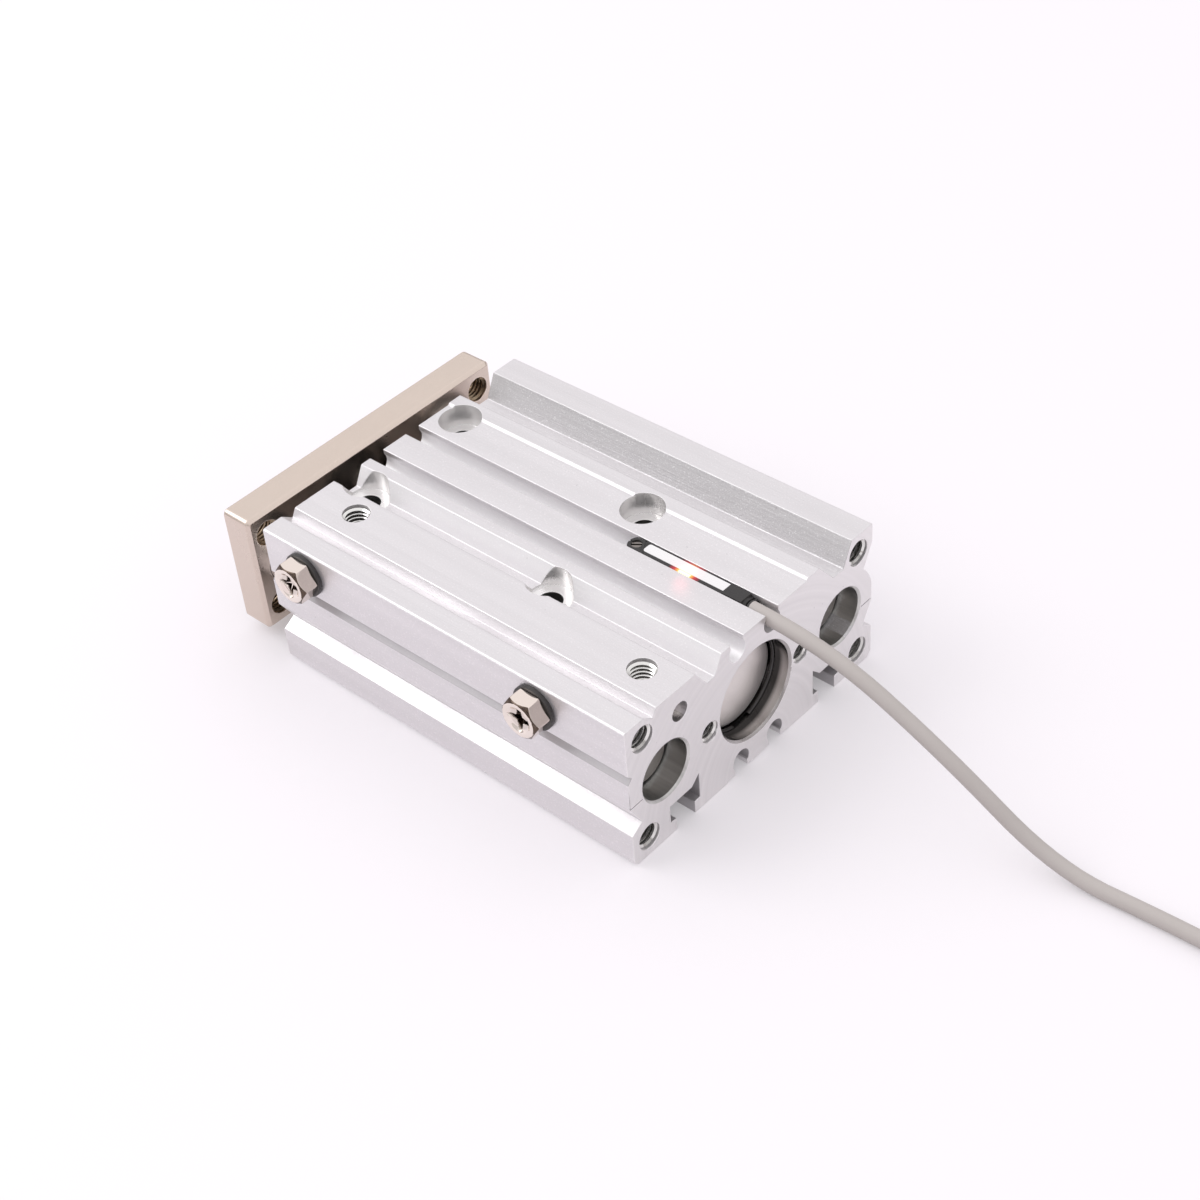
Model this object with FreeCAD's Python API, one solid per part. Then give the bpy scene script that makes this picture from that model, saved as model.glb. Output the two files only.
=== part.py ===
import FreeCAD, Part
import math
import os

"""Compact guided pneumatic cylinder: a flat aluminium body with one air bore between two
guide bores, and a tool plate carried by the piston rod and two guide rods.

Frame: origin on the underside, at the centre of the four mounting holes; +X from the back face
towards the tool plate, +Y towards the side with the air ports, +Z up. Millimetres. The rods
are retracted.
"""

V = FreeCAD.Vector
OUT_DIR = "parts"

# ---------------------------------------------------------------- driving dimensions
STROKE = 50.0
BORE_D = 16.0
GUIDE_PITCH = 46.0
PISTON_ROD_D = 8.0
GUIDE_ROD_D = 10.0
RUN_GAP = 0.04            # radial clearance of running fits
SLIP_GAP = 0.03           # radial clearance of pieces that are slipped or pressed in
SOFT_GAP = 0.25           # a cushion's distance from its stop at each end of the stroke

# body outline
BODY_W = 64.0
BODY_H = 30.0
EDGE_CHAMFER = 1.0        # lower long edges
LAND_DROP = 0.4           # middle of the top lies this much below the shoulders
FOOT_RELIEF_W = 16.0      # shallow relief along the middle of the underside
FOOT_RELIEF_T = 0.4

# stack along the bore, from the back face
HEAD_RECESS = 4.2
HEAD_COVER_T = 4.0
BUMPER_T = 1.5
PISTON_T = 9.0
COLLAR_L = 9.8
COLLAR_RING_T = 1.0
COLLAR_RECESS = 1.5
HEAD_COVER_D = 18.2
COLLAR_D = 17.0
RING_GROOVE_DEPTH = 0.5   # radial depth of both retaining ring grooves
HEAD_WIRE_D = 0.9

# profile of the body, as distances in from the long sides and down from the top
EDGE_BREAK = 0.3
SHOULDER_DIP = (4.4, 6.7, 7.6, 1.6)
PORT_VALLEY = (17.0, 19.8, 21.7, 23.6, 4.0)
FAR_STEP = 18.2
FAR_VALLEY = (14.9, 11.0, 8.2, 5.9, 4.7)
FAR_RIB_H = 4.0
SIDE_NOTCH = (8.0, 6.4, 2.0)          # heights below the axis: lower lip, root, upper lip
SIDE_MARK = (3.7, 5.7, 1.0)           # heights above the axis, and depth
WAIST = 2.6                           # depth of the side notches
BULGE_MARGIN = 0.2                    # the far side follows the guide bore
MARK_W, MARK_DEPTH = 0.2, 0.3
MARK_RISE = 0.3                       # of the scribed line above the notch's upper lip

# tool plate
PLATE_T = 7.0
PLATE_W = 62.0
PLATE_H = 25.0
PLATE_GAP = 6.0
PLATE_CHAMFER = 0.7
PLATE_CORNER_R = 1.2
ROD_SEAT = 1.0            # depth of the rods' seats in the plate
PLATE_HOLE_INSET = (4.0, 4.5)          # from the plate's sides, and from its top and foot

# guide bores
BUSH_WALL = 1.0           # nominal wall of the slide bearings round the rod
GUIDE_TAIL_GAP = 0.5      # between the rod and the narrower tail of its bore at the back
GUIDE_TAIL_L = 12.0
GUIDE_RECESS = 4.3        # rod end below the back face
BUSH_L = 20.0
FELT_T = 2.5
FELT_HOLDER_T = 2.0
GUIDE_MOUTH = 1.0         # the felt holder below the front face

GUIDE_ROD_CHAMFER = 0.5

# seals, rings and piston
GASKET_D = 1.2
GROOVE_SPARE = 0.1        # on each side of an O-ring in its groove
RING_SIDES = 8            # facets of the round rings' sections
HEAD_COVER_EDGE = 0.9
WIRE_RING_GAP_DEG = 26.0
SEAL_D = 13.0
SEAL_W = 3.2
RETAINING_W = 1.6
EAR_D = 2.2
EAR_Y, EAR_RISE = 1.76, 0.55
EAR_HOLE_D = 0.9
PISTON_SPIGOT_D = 5.0
PISTON_LAND = 1.2
PISTON_GROOVE = 2.2
PISTON_CHAMFER = 0.4
PISTON_SEAL_W = 2.8
MAGNET_W, MAGNET_T = 2.4, 1.8
BUMPER_D = 13.0

# threads, as plain holes of core size
M4_CORE, M4_D = 3.3, 4.0
M5_CORE, M5_D = 4.2, 5.0
THREAD_GAP = 0.04         # radial gap of a plain shank in its core hole
HOLE_CHAMFER = 0.4
TAP_SPARE = 1.0           # of a rod's tapped hole, beyond its bolt

# mounting holes through the body
MOUNT_HOLE_D = 4.3
MOUNT_CBORE_D = 8.0
MOUNT_CBORE_T = 4.5
MOUNT_PITCH = (44.0, 24.0)
MOUNT_FROM_FRONT = 5.0
BACK_HOLES = (56.0, 22.0)
BACK_HOLE_DEPTH = 12.0
BACK_MID_PITCH = 24.0
BACK_MID_DEPTH = 7.0
PIN_D = 3.0
PIN_DEPTH = 3.0
PIN_SLOT_L = 3.5

# air ports
PORT_DEPTH = 5.5
TOP_PORT_Y = 19.0
FRONT_PORT_INSET = 10.0
REAR_PORT_INSET = 7.5
REAR_SIDE_PORT_INSET = 19.0
SIDE_PORT_DROP = 5.0      # below the top
AIR_ENTRY_DEG = 50.0      # where the air ways meet the bore, from the horizontal
GALLERY_D = 2.4
GALLERY_BALL_D = 3.6
BALL_INSET = 1.6
AIR_WAY_D = 1.6

# slots
TSLOT_PITCH = 38.0
TSLOT_MOUTH = 4.6
TSLOT_W = 7.4
TSLOT_LIP = 2.6
TSLOT_H = 3.8
TSLOT_ROOF_RISE = 1.8     # the roof climbs towards the middle of the body
SENSOR_PITCH = 9.0
SENSOR_R = 2.05
SENSOR_MOUTH = 3.2
SENSOR_DEPTH = 2.3        # groove's centre below the face it opens in

# position switch
SWITCH_END_INSET = 4.0    # its cable end, from the back face
SWITCH_L = 26.5
SWITCH_R = 1.9
SWITCH_NECK_W = 2.8
SWITCH_TOP_DROP = 0.2     # of its flat top below the land
LABEL_L, LABEL_W, LABEL_T = 17.5, 2.05, 0.15
LABEL_EDGE = 0.1          # between the label and the case's far side
LABEL_CORNER_R = 0.5      # at the label's front end
LABEL_INSET = 5.5
LAMP_L, LAMP_W, LAMP_T = 2.4, 0.55, 0.5
LAMP_INSET = 12.3
SCREW_D = 2.0
SCREW_INSET = 1.6         # from the front tip
BAR_INSETS = (3.0, 4.9)   # of the two slanting bars, from the front tip
BAR_W, BAR_T, BAR_DEG = 0.45, 0.9, 30.0
BAR_RISE = 0.1            # of the front bar and the rear block above the flat top
END_L, END_DROP = 1.4, 0.5             # stepped end where the cable comes out
END_SLIT_W, END_SLIT_T = 0.25, 0.6
SCREW_SINK = 0.2          # below the switch's top
SCREW_SLOT_W, SCREW_SLOT_T, SCREW_SLOT_DEG = 0.4, 0.5, 35.0
TIP_SLOT_W = 0.35

# plugs and bolts
PLUG_AF = 7.0
PLUG_HEAD_T = 3.4
PLUG_SHANK_L = 4.0
PLUG_CROWN_INSET = 0.2    # of the round top face within the flats
WASHER_HOLE_GAP = 0.1
PLUG_WASHER_D, PLUG_WASHER_T = 8.4, 0.8
CROSS_L, CROSS_W, CROSS_T = 4.4, 0.8, 1.4
BOLT_HEAD_GAP = 0.3
BOLT_SINK = 0.2
BOLT_EDGE = 0.3
SOCKET_FLOOR = 0.35       # of the head's height
GUIDE_BOLT = (5.0, 8.4, 2.7, 10.0, 3.0)    # shank, head, head height, reach, key size
ROD_BOLT = (4.0, 7.0, 2.5, 9.0, 2.5)

# cable
CABLE_D = 2.7
CABLE_Z_DROP = 1.55       # cable's centre below the land, inside the groove
CABLE_SIDE_SHIFT = 0.15   # towards the middle of the body
COIL_MID_R = 16.2
COIL_ROWS = 2
STUB_L = 11.0             # between the last point of the route and the coil
FREE_STUB_L = 16.5        # straight end after the coil
ARC_SHARE = 0.45          # of the shorter run that an arc takes at a corner
CORE_D = 1.1
CORE_L = 16.0
CORE_SPREAD_DEG = 7.0
CORE_Y = 0.6              # of each core from the cable's middle
FLOOR_GAP = 0.03          # between the cores' ends and the floor

# ---------------------------------------------------------------- worked out from the above
CHAMBER_L = STROKE + PISTON_T + 2 * (BUMPER_T + SOFT_GAP)
BODY_L = HEAD_RECESS + HEAD_COVER_T + CHAMBER_L + COLLAR_L + COLLAR_RING_T + COLLAR_RECESS
FRONT = MOUNT_FROM_FRONT + MOUNT_PITCH[0] / 2
BACK = FRONT - BODY_L
AXIS_Z = BODY_H / 2
HALF_W = BODY_W / 2
GUIDE_Y = GUIDE_PITCH / 2
GUIDE_BORE_D = GUIDE_ROD_D + 2 * BUSH_WALL
GUIDE_TAIL_D = GUIDE_ROD_D + 2 * GUIDE_TAIL_GAP
LAND_Z = BODY_H - LAND_DROP
SIDE_PORT_Z = BODY_H - SIDE_PORT_DROP
HEAD_FACE = BACK + HEAD_RECESS
CHAMBER_0 = HEAD_FACE + HEAD_COVER_T
CHAMBER_1 = CHAMBER_0 + CHAMBER_L
COLLAR_1 = CHAMBER_1 + COLLAR_L
PISTON_0 = CHAMBER_0 + SOFT_GAP + BUMPER_T
PISTON_1 = PISTON_0 + PISTON_T
PLATE_0 = FRONT + PLATE_GAP
PLATE_1 = PLATE_0 + PLATE_T
SWITCH_Y = -SENSOR_PITCH / 2
SWITCH_TOP = LAND_Z - SWITCH_TOP_DROP
GROOVE_Z = LAND_Z - SENSOR_DEPTH
SWITCH_0 = BACK + SWITCH_END_INSET
SWITCH_1 = SWITCH_0 + SWITCH_L
MOUNT_X = (-MOUNT_PITCH[0] / 2, MOUNT_PITCH[0] / 2)
MOUNT_Y = MOUNT_PITCH[1] / 2
PORT_X = {"rear": BACK + REAR_PORT_INSET, "front": FRONT - FRONT_PORT_INSET}
SIDE_PORT_X = {"rear": BACK + REAR_SIDE_PORT_INSET, "front": PORT_X["front"]}
X_DIR, Y_DIR, Z_DIR = V(1, 0, 0), V(0, 1, 0), V(0, 0, 1)
MIRROR = (1, -1)
OVERCUT = 1.0             # how far a cutter passes the face it opens


# ---------------------------------------------------------------- small building blocks
def cyl(start, direction, diameter, length):
    return Part.makeCylinder(diameter / 2, length, start, direction)


def cyl_x(x0, x1, diameter, y=0.0, z=AXIS_Z):
    return cyl(V(x0, y, z), X_DIR, diameter, x1 - x0)


def box(x, y, z):
    return Part.makeBox(x[1] - x[0], y[1] - y[0], z[1] - z[0], V(x[0], y[0], z[0]))


def spin_x(points, y=0.0, z=AXIS_Z):
    """Solid of revolution about a line along X; points are (x, radius)."""
    wire = Part.makePolygon([V(x, y, z + r) for x, r in points + points[:1]])
    return Part.Face(wire).revolve(V(0, y, z), X_DIR, 360)


def prism_x(outline, x0, x1):
    """Solid with a constant section; outline is a list of (y, z)."""
    wire = Part.makePolygon([V(x0, y, z) for y, z in outline + outline[:1]])
    return Part.Face(wire).extrude(V(x1 - x0, 0, 0))


def drill(mouth, direction, diameter, depth, chamfer=HOLE_CHAMFER):
    """Cutter for a blind or through hole that starts at its mouth, with a chamfered rim."""
    inward = V(direction).normalize()
    tool = cyl(mouth - inward * OVERCUT, inward, diameter, depth + OVERCUT)
    rim = diameter / 2 + chamfer + OVERCUT
    cone = Part.makeCone(rim, diameter / 2, chamfer + OVERCUT, mouth - inward * OVERCUT, inward)
    return tool.fuse(cone)


def ring_x(x, ring_r, wire_d, gap_deg=0.0):
    """Round wire ring about the bore's axis, its section as a polygon; a gap is centred below."""
    corners = []
    for k in range(RING_SIDES + 1):
        angle = math.radians(360 * (k + 0.5) / RING_SIDES)
        corners.append(V(x + wire_d / 2 * math.cos(angle), 0,
                         AXIS_Z - ring_r + wire_d / 2 * math.sin(angle)))
    section = Part.Face(Part.makePolygon(corners))
    section.rotate(V(x, 0, AXIS_Z), X_DIR, gap_deg / 2)
    return section.revolve(V(x, 0, AXIS_Z), X_DIR, 360 - gap_deg)


def hexagon(centre, direction, across_flats, height):
    """Hexagonal prism with its axis along the direction."""
    corner_r = across_flats / math.sqrt(3)
    corners = [V(corner_r * math.cos(math.radians(60 * k)),
                 corner_r * math.sin(math.radians(60 * k)), 0) for k in range(7)]
    solid = Part.Face(Part.makePolygon(corners)).extrude(V(0, 0, height))
    solid.Placement = FreeCAD.Placement(centre, FreeCAD.Rotation(Z_DIR, direction))
    return solid


def cut(shape, tools):
    return shape.cut(tools).removeSplitter()


# ---------------------------------------------------------------- body
class Outline:
    """Closed outline in the YZ plane, drawn from point to point."""

    def __init__(self, y, z):
        self.edges = []
        self.start = self.here = V(BACK, y, z)

    def line(self, *points):
        for y, z in points:
            there = V(BACK, y, z)
            self.edges.append(Part.makeLine(self.here, there))
            self.here = there

    def arc(self, middle, end):
        there = V(BACK, *end)
        self.edges.append(Part.Arc(self.here, V(BACK, *middle), there).toShape())
        self.here = there

    def extrude(self, length):
        self.edges.append(Part.makeLine(self.here, self.start))
        return Part.Face(Part.Wire(self.edges)).extrude(V(length, 0, 0))


def extrusion():
    """The drawn bar: up the port side, over the top, down the far side and back underneath."""
    top, land, edge = BODY_H, LAND_Z, HALF_W
    low, mid, high = (AXIS_Z - drop for drop in SIDE_NOTCH)
    bulge_r = edge - GUIDE_Y + BULGE_MARGIN
    bulge_top = math.sqrt(bulge_r ** 2 - (bulge_r - WAIST) ** 2)
    bulge_out = math.sqrt(bulge_r ** 2 - (edge - GUIDE_Y) ** 2)
    outline = Outline(edge - EDGE_CHAMFER, 0)
    outline.line((edge, EDGE_CHAMFER), (edge, low), (edge - WAIST, mid), (edge, high))
    mark_0, mark_1, mark_t = SIDE_MARK
    outline.line((edge, AXIS_Z + mark_0), (edge - mark_t, AXIS_Z + (mark_0 + mark_1) / 2),
                 (edge, AXIS_Z + mark_1))
    outline.line((edge, top - EDGE_BREAK), (edge - EDGE_BREAK, top))
    dip_0, dip_mid, dip_1, dip_t = SHOULDER_DIP
    outline.line((edge - dip_0, top), (edge - dip_mid, top - dip_t), (edge - dip_1, top))
    out, floor_out, floor_in, inner, depth = PORT_VALLEY
    outline.line((edge - out, top), (edge - floor_out, top - depth),
                 (edge - floor_in, top - depth), (edge - inner, land))
    outline.line((FAR_STEP - edge, land), (FAR_STEP - LAND_DROP - edge, top))
    inner, floor_in, floor_out, out, depth = FAR_VALLEY
    outline.line((inner - edge, top), (floor_in - edge, top - depth),
                 (floor_out - edge, top - depth), (out - edge, top))
    outline.line((EDGE_BREAK - edge, top), (-edge, top - EDGE_BREAK), (-edge, top - FAR_RIB_H))
    outline.line((-GUIDE_Y - bulge_r + WAIST, AXIS_Z + bulge_top))
    middle = math.atan2(bulge_top + bulge_out, 2 * bulge_r - WAIST)
    outline.arc((-GUIDE_Y - bulge_r * math.cos(middle), AXIS_Z + bulge_r * math.sin(middle)),
                (-edge, AXIS_Z + bulge_out))
    outline.line((-edge, high), (WAIST - edge, mid), (-edge, low))
    outline.line((-edge, EDGE_CHAMFER), (EDGE_CHAMFER - edge, 0))
    relief = FOOT_RELIEF_W / 2
    outline.line((-relief - FOOT_RELIEF_T, 0), (-relief, FOOT_RELIEF_T))
    outline.line((relief, FOOT_RELIEF_T), (relief + FOOT_RELIEF_T, 0))
    return outline.extrude(BODY_L)


def long_slots():
    """T-slots in the underside, and sensor grooves in the top and the underside."""
    tools = []
    lip, roof = TSLOT_LIP, TSLOT_LIP + TSLOT_H
    half, mouth = TSLOT_W / 2, TSLOT_MOUTH / 2
    for side in MIRROR:
        centre = TSLOT_PITCH / 2
        outline = [(centre - mouth, -OVERCUT), (centre - mouth, lip), (centre - half, lip),
                   (centre - half, roof + TSLOT_ROOF_RISE), (centre - half / 2, roof),
                   (centre + half, roof), (centre + half, lip), (centre + mouth, lip),
                   (centre + mouth, -OVERCUT)]
        tools.append(prism_x([(side * y, z) for y, z in outline], BACK - OVERCUT, FRONT + OVERCUT))
    half = SENSOR_MOUTH / 2
    below = FOOT_RELIEF_T + SENSOR_DEPTH
    for side in MIRROR:
        y = side * SENSOR_PITCH / 2
        for centre, open_z in ((GROOVE_Z, BODY_H + OVERCUT), (below, -OVERCUT)):
            tools.append(cyl_x(BACK - OVERCUT, FRONT + OVERCUT, 2 * SENSOR_R, y, centre))
            tools.append(box((BACK - OVERCUT, FRONT + OVERCUT), (y - half, y + half),
                             sorted((centre, open_z))))
    return tools


def centre_bore():
    """Air bore with the seats of both covers and the grooves of their rings."""
    bore, head, collar = BORE_D / 2, HEAD_COVER_D / 2, COLLAR_D / 2
    wire_1 = HEAD_FACE
    wire_0 = wire_1 - HEAD_WIRE_D
    ring_0, ring_1 = COLLAR_1, COLLAR_1 + COLLAR_RING_T
    rim = HOLE_CHAMFER
    return spin_x([
        (BACK - OVERCUT, 0), (BACK - OVERCUT, head + rim + OVERCUT), (BACK + rim, head), (wire_0, head),
        (wire_0, head + RING_GROOVE_DEPTH), (wire_1, head + RING_GROOVE_DEPTH), (wire_1, head),
        (CHAMBER_0, head), (CHAMBER_0, bore), (CHAMBER_1, bore), (CHAMBER_1, collar),
        (ring_0, collar), (ring_0, collar + RING_GROOVE_DEPTH),
        (ring_1, collar + RING_GROOVE_DEPTH), (ring_1, collar), (FRONT - rim, collar),
        (FRONT + OVERCUT, collar + rim + OVERCUT), (FRONT + OVERCUT, 0)])


def guide_bore(y):
    """Guide bore with a narrower tail, so that the rear bearing has a shoulder."""
    tail, main, rim = GUIDE_TAIL_D / 2, GUIDE_BORE_D / 2, HOLE_CHAMFER
    shoulder = BACK + GUIDE_TAIL_L
    return spin_x([
        (BACK - OVERCUT, 0), (BACK - OVERCUT, tail + rim + OVERCUT), (BACK + rim, tail), (shoulder, tail),
        (shoulder, main), (FRONT - rim, main), (FRONT + OVERCUT, main + rim + OVERCUT),
        (FRONT + OVERCUT, 0)], y)


def mounting_holes():
    tools = []
    for x in MOUNT_X:
        for side in MIRROR:
            top = V(x, side * MOUNT_Y, BODY_H)
            above = top + Z_DIR * OVERCUT
            tools.append(cyl(above, -Z_DIR, MOUNT_HOLE_D, BODY_H + 2 * OVERCUT))
            tools.append(cyl(above, -Z_DIR, MOUNT_CBORE_D, MOUNT_CBORE_T + OVERCUT))
    for side_y in MIRROR:
        for side_z in MIRROR:
            mouth = V(BACK, side_y * BACK_HOLES[0] / 2, AXIS_Z + side_z * BACK_HOLES[1] / 2)
            tools.append(drill(mouth, X_DIR, M5_CORE, BACK_HOLE_DEPTH))
        mouth = V(BACK, side_y * BACK_MID_PITCH / 2, AXIS_Z)
        tools.append(drill(mouth, X_DIR, M4_CORE, BACK_MID_DEPTH))
    pin_foot = V(MOUNT_X[1], 0, -OVERCUT)
    tools.append(cyl(pin_foot, Z_DIR, PIN_D, PIN_DEPTH + OVERCUT))
    slot_half = (PIN_SLOT_L - PIN_D) / 2
    for shift in MIRROR:
        end = V(MOUNT_X[0] + shift * slot_half, 0, -OVERCUT)
        tools.append(cyl(end, Z_DIR, PIN_D, PIN_DEPTH + OVERCUT))
    return tools


def air_ways():
    """Ports in the top and the port side, and the drillings that join them to the bore."""
    tools = []
    entry_x = {"rear": CHAMBER_0 + AIR_WAY_D / 2, "front": CHAMBER_1 - AIR_WAY_D / 2}
    entry_y = BORE_D / 2 * math.cos(math.radians(AIR_ENTRY_DEG))
    entry_z = AXIS_Z + BORE_D / 2 * math.sin(math.radians(AIR_ENTRY_DEG))
    for end in PORT_X:
        top = V(PORT_X[end], TOP_PORT_Y, BODY_H)
        tools.append(drill(top, -Z_DIR, M5_CORE, PORT_DEPTH))
        mouth = V(SIDE_PORT_X[end], HALF_W, SIDE_PORT_Z)
        tools.append(drill(mouth, -Y_DIR, M5_CORE, PORT_DEPTH))
        tools.append(cyl(mouth, -Y_DIR, GALLERY_D, HALF_W - TOP_PORT_Y))
        corner = V(PORT_X[end], TOP_PORT_Y, SIDE_PORT_Z)
        entry = V(entry_x[end], entry_y, entry_z)
        reach = entry - corner
        tools.append(cyl(corner, reach, AIR_WAY_D, reach.Length + AIR_WAY_D))
    gallery_end = SIDE_PORT_X["rear"] + GALLERY_D / 2
    tools.append(cyl_x(BACK - OVERCUT, gallery_end, GALLERY_D, TOP_PORT_Y, SIDE_PORT_Z))
    tools.append(cyl_x(BACK - OVERCUT, BACK + BALL_INSET + GALLERY_BALL_D, GALLERY_BALL_D,
                       TOP_PORT_Y, SIDE_PORT_Z))
    return tools


def seam_marks():
    """Shallow scribed lines on the back face, from each long side to the guide bore."""
    z = AXIS_Z - SIDE_NOTCH[2] + MARK_RISE
    inner = GUIDE_Y + GUIDE_TAIL_D / 2 + HOLE_CHAMFER
    return [box((BACK - OVERCUT, BACK + MARK_DEPTH), sorted((side * inner, side * (HALF_W + OVERCUT))),
                (z, z + MARK_W)) for side in MIRROR]


def cylinder_body():
    tools = long_slots() + [centre_bore()] + [guide_bore(side * GUIDE_Y) for side in MIRROR]
    return extrusion().cut(tools + mounting_holes() + air_ways() + seam_marks())


# ---------------------------------------------------------------- bore covers and seals
def o_ring_groove(x_mid, rim_r):
    """Cutter for a rectangular groove round the outside of a cover."""
    half = GASKET_D / 2 + GROOVE_SPARE
    floor = rim_r - GASKET_D + SLIP_GAP
    return spin_x([(x_mid - half, floor), (x_mid + half, floor),
                   (x_mid + half, rim_r + OVERCUT), (x_mid - half, rim_r + OVERCUT)])


def o_ring(x_mid, rim_r):
    return ring_x(x_mid, rim_r + SLIP_GAP - GASKET_D / 2, GASKET_D - 2 * SLIP_GAP)


def head_cover():
    rim = HEAD_COVER_D / 2 - SLIP_GAP
    edge = HEAD_COVER_EDGE
    disc = spin_x([(HEAD_FACE, 0), (HEAD_FACE, rim - edge), (HEAD_FACE + edge / 3, rim - edge / 3),
                   (HEAD_FACE + edge, rim), (CHAMBER_0, rim), (CHAMBER_0, 0)])
    return cut(disc, [o_ring_groove(CHAMBER_0 - HEAD_COVER_T / 3, rim)])


def head_cover_ring():
    ring_r = HEAD_COVER_D / 2 + RING_GROOVE_DEPTH - SLIP_GAP - HEAD_WIRE_D / 2
    wire_d = HEAD_WIRE_D - 2 * SLIP_GAP
    return ring_x(HEAD_FACE - HEAD_WIRE_D / 2, ring_r, wire_d, gap_deg=WIRE_RING_GAP_DEG)


def rod_collar():
    rim, hole = COLLAR_D / 2 - SLIP_GAP, PISTON_ROD_D / 2 + RUN_GAP
    sleeve = spin_x([(CHAMBER_1, hole), (CHAMBER_1, rim), (COLLAR_1, rim), (COLLAR_1, hole)])
    seal_seat = spin_x([(COLLAR_1 - SEAL_W, hole - OVERCUT), (COLLAR_1 - SEAL_W, SEAL_D / 2),
                        (COLLAR_1 + OVERCUT, SEAL_D / 2), (COLLAR_1 + OVERCUT, hole - OVERCUT)])
    return cut(sleeve, [seal_seat, o_ring_groove(CHAMBER_1 + COLLAR_L / 3, rim)])


def rod_seal():
    """Lip seal: its lip stands towards the chamber, its back is flush with the collar."""
    inner, outer = PISTON_ROD_D / 2 + RUN_GAP, SEAL_D / 2 - SLIP_GAP
    back, front = COLLAR_1 - SEAL_W, COLLAR_1
    wall = (outer - inner) / 3
    return spin_x([(back, inner), (back, inner + wall), (back + SEAL_W / 2, inner + 1.5 * wall),
                   (back, outer - wall), (back, outer), (front, outer), (front, inner + wall),
                   (front - wall, inner)])


def rod_collar_ring():
    """Internal retaining ring with a gap and two pierced ears, which point inwards."""
    outer = COLLAR_D / 2 + RING_GROOVE_DEPTH - SLIP_GAP
    inner = outer - RETAINING_W
    ring_1 = COLLAR_1 + COLLAR_RING_T
    ring = cyl_x(COLLAR_1, ring_1, 2 * outer).cut(cyl_x(COLLAR_1 - OVERCUT, ring_1 + OVERCUT, 2 * inner))
    ear_z = AXIS_Z - inner + EAR_RISE
    ring = ring.cut(box((COLLAR_1 - OVERCUT, ring_1 + OVERCUT), (-EAR_Y, EAR_Y), (0, AXIS_Z)))
    for side in MIRROR:
        ring = ring.fuse(cyl_x(COLLAR_1, ring_1, EAR_D, side * EAR_Y, ear_z))
    holes = [cyl_x(COLLAR_1 - OVERCUT, ring_1 + OVERCUT, EAR_HOLE_D, side * EAR_Y, ear_z)
             for side in MIRROR]
    return cut(ring, holes)


# ---------------------------------------------------------------- guide bores
def sleeve_x(x0, x1, outer_d, inner_d, y):
    return spin_x([(x0, inner_d / 2), (x0, outer_d / 2), (x1, outer_d / 2), (x1, inner_d / 2)], y)


GUIDE_STACK_END = FRONT - GUIDE_MOUTH
FELT_1 = GUIDE_STACK_END - FELT_HOLDER_T
FELT_0 = FELT_1 - FELT_T


def guide_bushings(side):
    """Two slide bearings: one on the shoulder at the back, one behind the felt at the front."""
    outer, inner = GUIDE_BORE_D - 2 * SLIP_GAP, GUIDE_ROD_D + 2 * RUN_GAP
    shoulder = BACK + GUIDE_TAIL_L
    spans = ((shoulder, shoulder + BUSH_L), (FELT_0 - BUSH_L, FELT_0))
    return Part.makeCompound([sleeve_x(x0, x1, outer, inner, side * GUIDE_Y) for x0, x1 in spans])


def guide_felts():
    outer, inner = GUIDE_BORE_D - 2 * SLIP_GAP, GUIDE_ROD_D + 4 * RUN_GAP
    return Part.makeCompound([sleeve_x(FELT_0, FELT_1, outer, inner, side * GUIDE_Y)
                              for side in MIRROR])


def felt_holders():
    outer, inner = GUIDE_BORE_D - 2 * SLIP_GAP, GUIDE_ROD_D + 6 * RUN_GAP
    return Part.makeCompound([sleeve_x(FELT_1, GUIDE_STACK_END, outer, inner, side * GUIDE_Y)
                              for side in MIRROR])


# ---------------------------------------------------------------- carriage
def piston():
    rim = BORE_D / 2 - 2 * RUN_GAP
    spigot = PISTON_SPIGOT_D / 2
    edge = PISTON_CHAMFER
    disc = spin_x([(PISTON_0, spigot), (PISTON_0, rim - edge), (PISTON_0 + edge, rim),
                   (PISTON_1 - edge, rim), (PISTON_1, rim - edge), (PISTON_1, spigot)])
    seal_0, magnet_0 = PISTON_1 - PISTON_LAND - PISTON_SEAL_W, PISTON_0 + PISTON_LAND
    floor = rim - PISTON_GROOVE
    grooves = [spin_x([(x0, floor), (x0 + w, floor), (x0 + w, rim + OVERCUT), (x0, rim + OVERCUT)])
               for x0, w in ((seal_0, PISTON_SEAL_W), (magnet_0, MAGNET_W))]
    return cut(disc, grooves)


def piston_magnet():
    floor = BORE_D / 2 - 2 * RUN_GAP - PISTON_GROOVE
    x0 = PISTON_0 + PISTON_LAND
    return sleeve_x(x0, x0 + MAGNET_W, 2 * (floor + MAGNET_T), 2 * floor, 0)


def piston_seal():
    """Double-lip ring in the piston's groove."""
    floor, lip = BORE_D / 2 - 2 * RUN_GAP - PISTON_GROOVE, BORE_D / 2 - RUN_GAP
    x1 = PISTON_1 - PISTON_LAND
    x0 = x1 - PISTON_SEAL_W
    waist = (x0 + x1) / 2
    return spin_x([(x0, floor), (x0, lip), (waist, lip - PISTON_GROOVE / 4), (x1, lip), (x1, floor)])


def bumper(x0, hole_d):
    return sleeve_x(x0, x0 + BUMPER_T, BUMPER_D, hole_d, 0)


def piston_rod():
    """Rod with a spigot for the piston at its back and a tapped hole at its front."""
    rod, spigot = PISTON_ROD_D / 2, PISTON_SPIGOT_D / 2
    end = PLATE_0 + ROD_SEAT
    shaft = spin_x([(PISTON_0, 0), (PISTON_0, spigot), (PISTON_1, spigot), (PISTON_1, rod),
                    (end - HOLE_CHAMFER, rod), (end, rod - HOLE_CHAMFER), (end, 0)])
    return cut(shaft, [tapped_end(end, ROD_BOLT, 0)])


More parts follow.
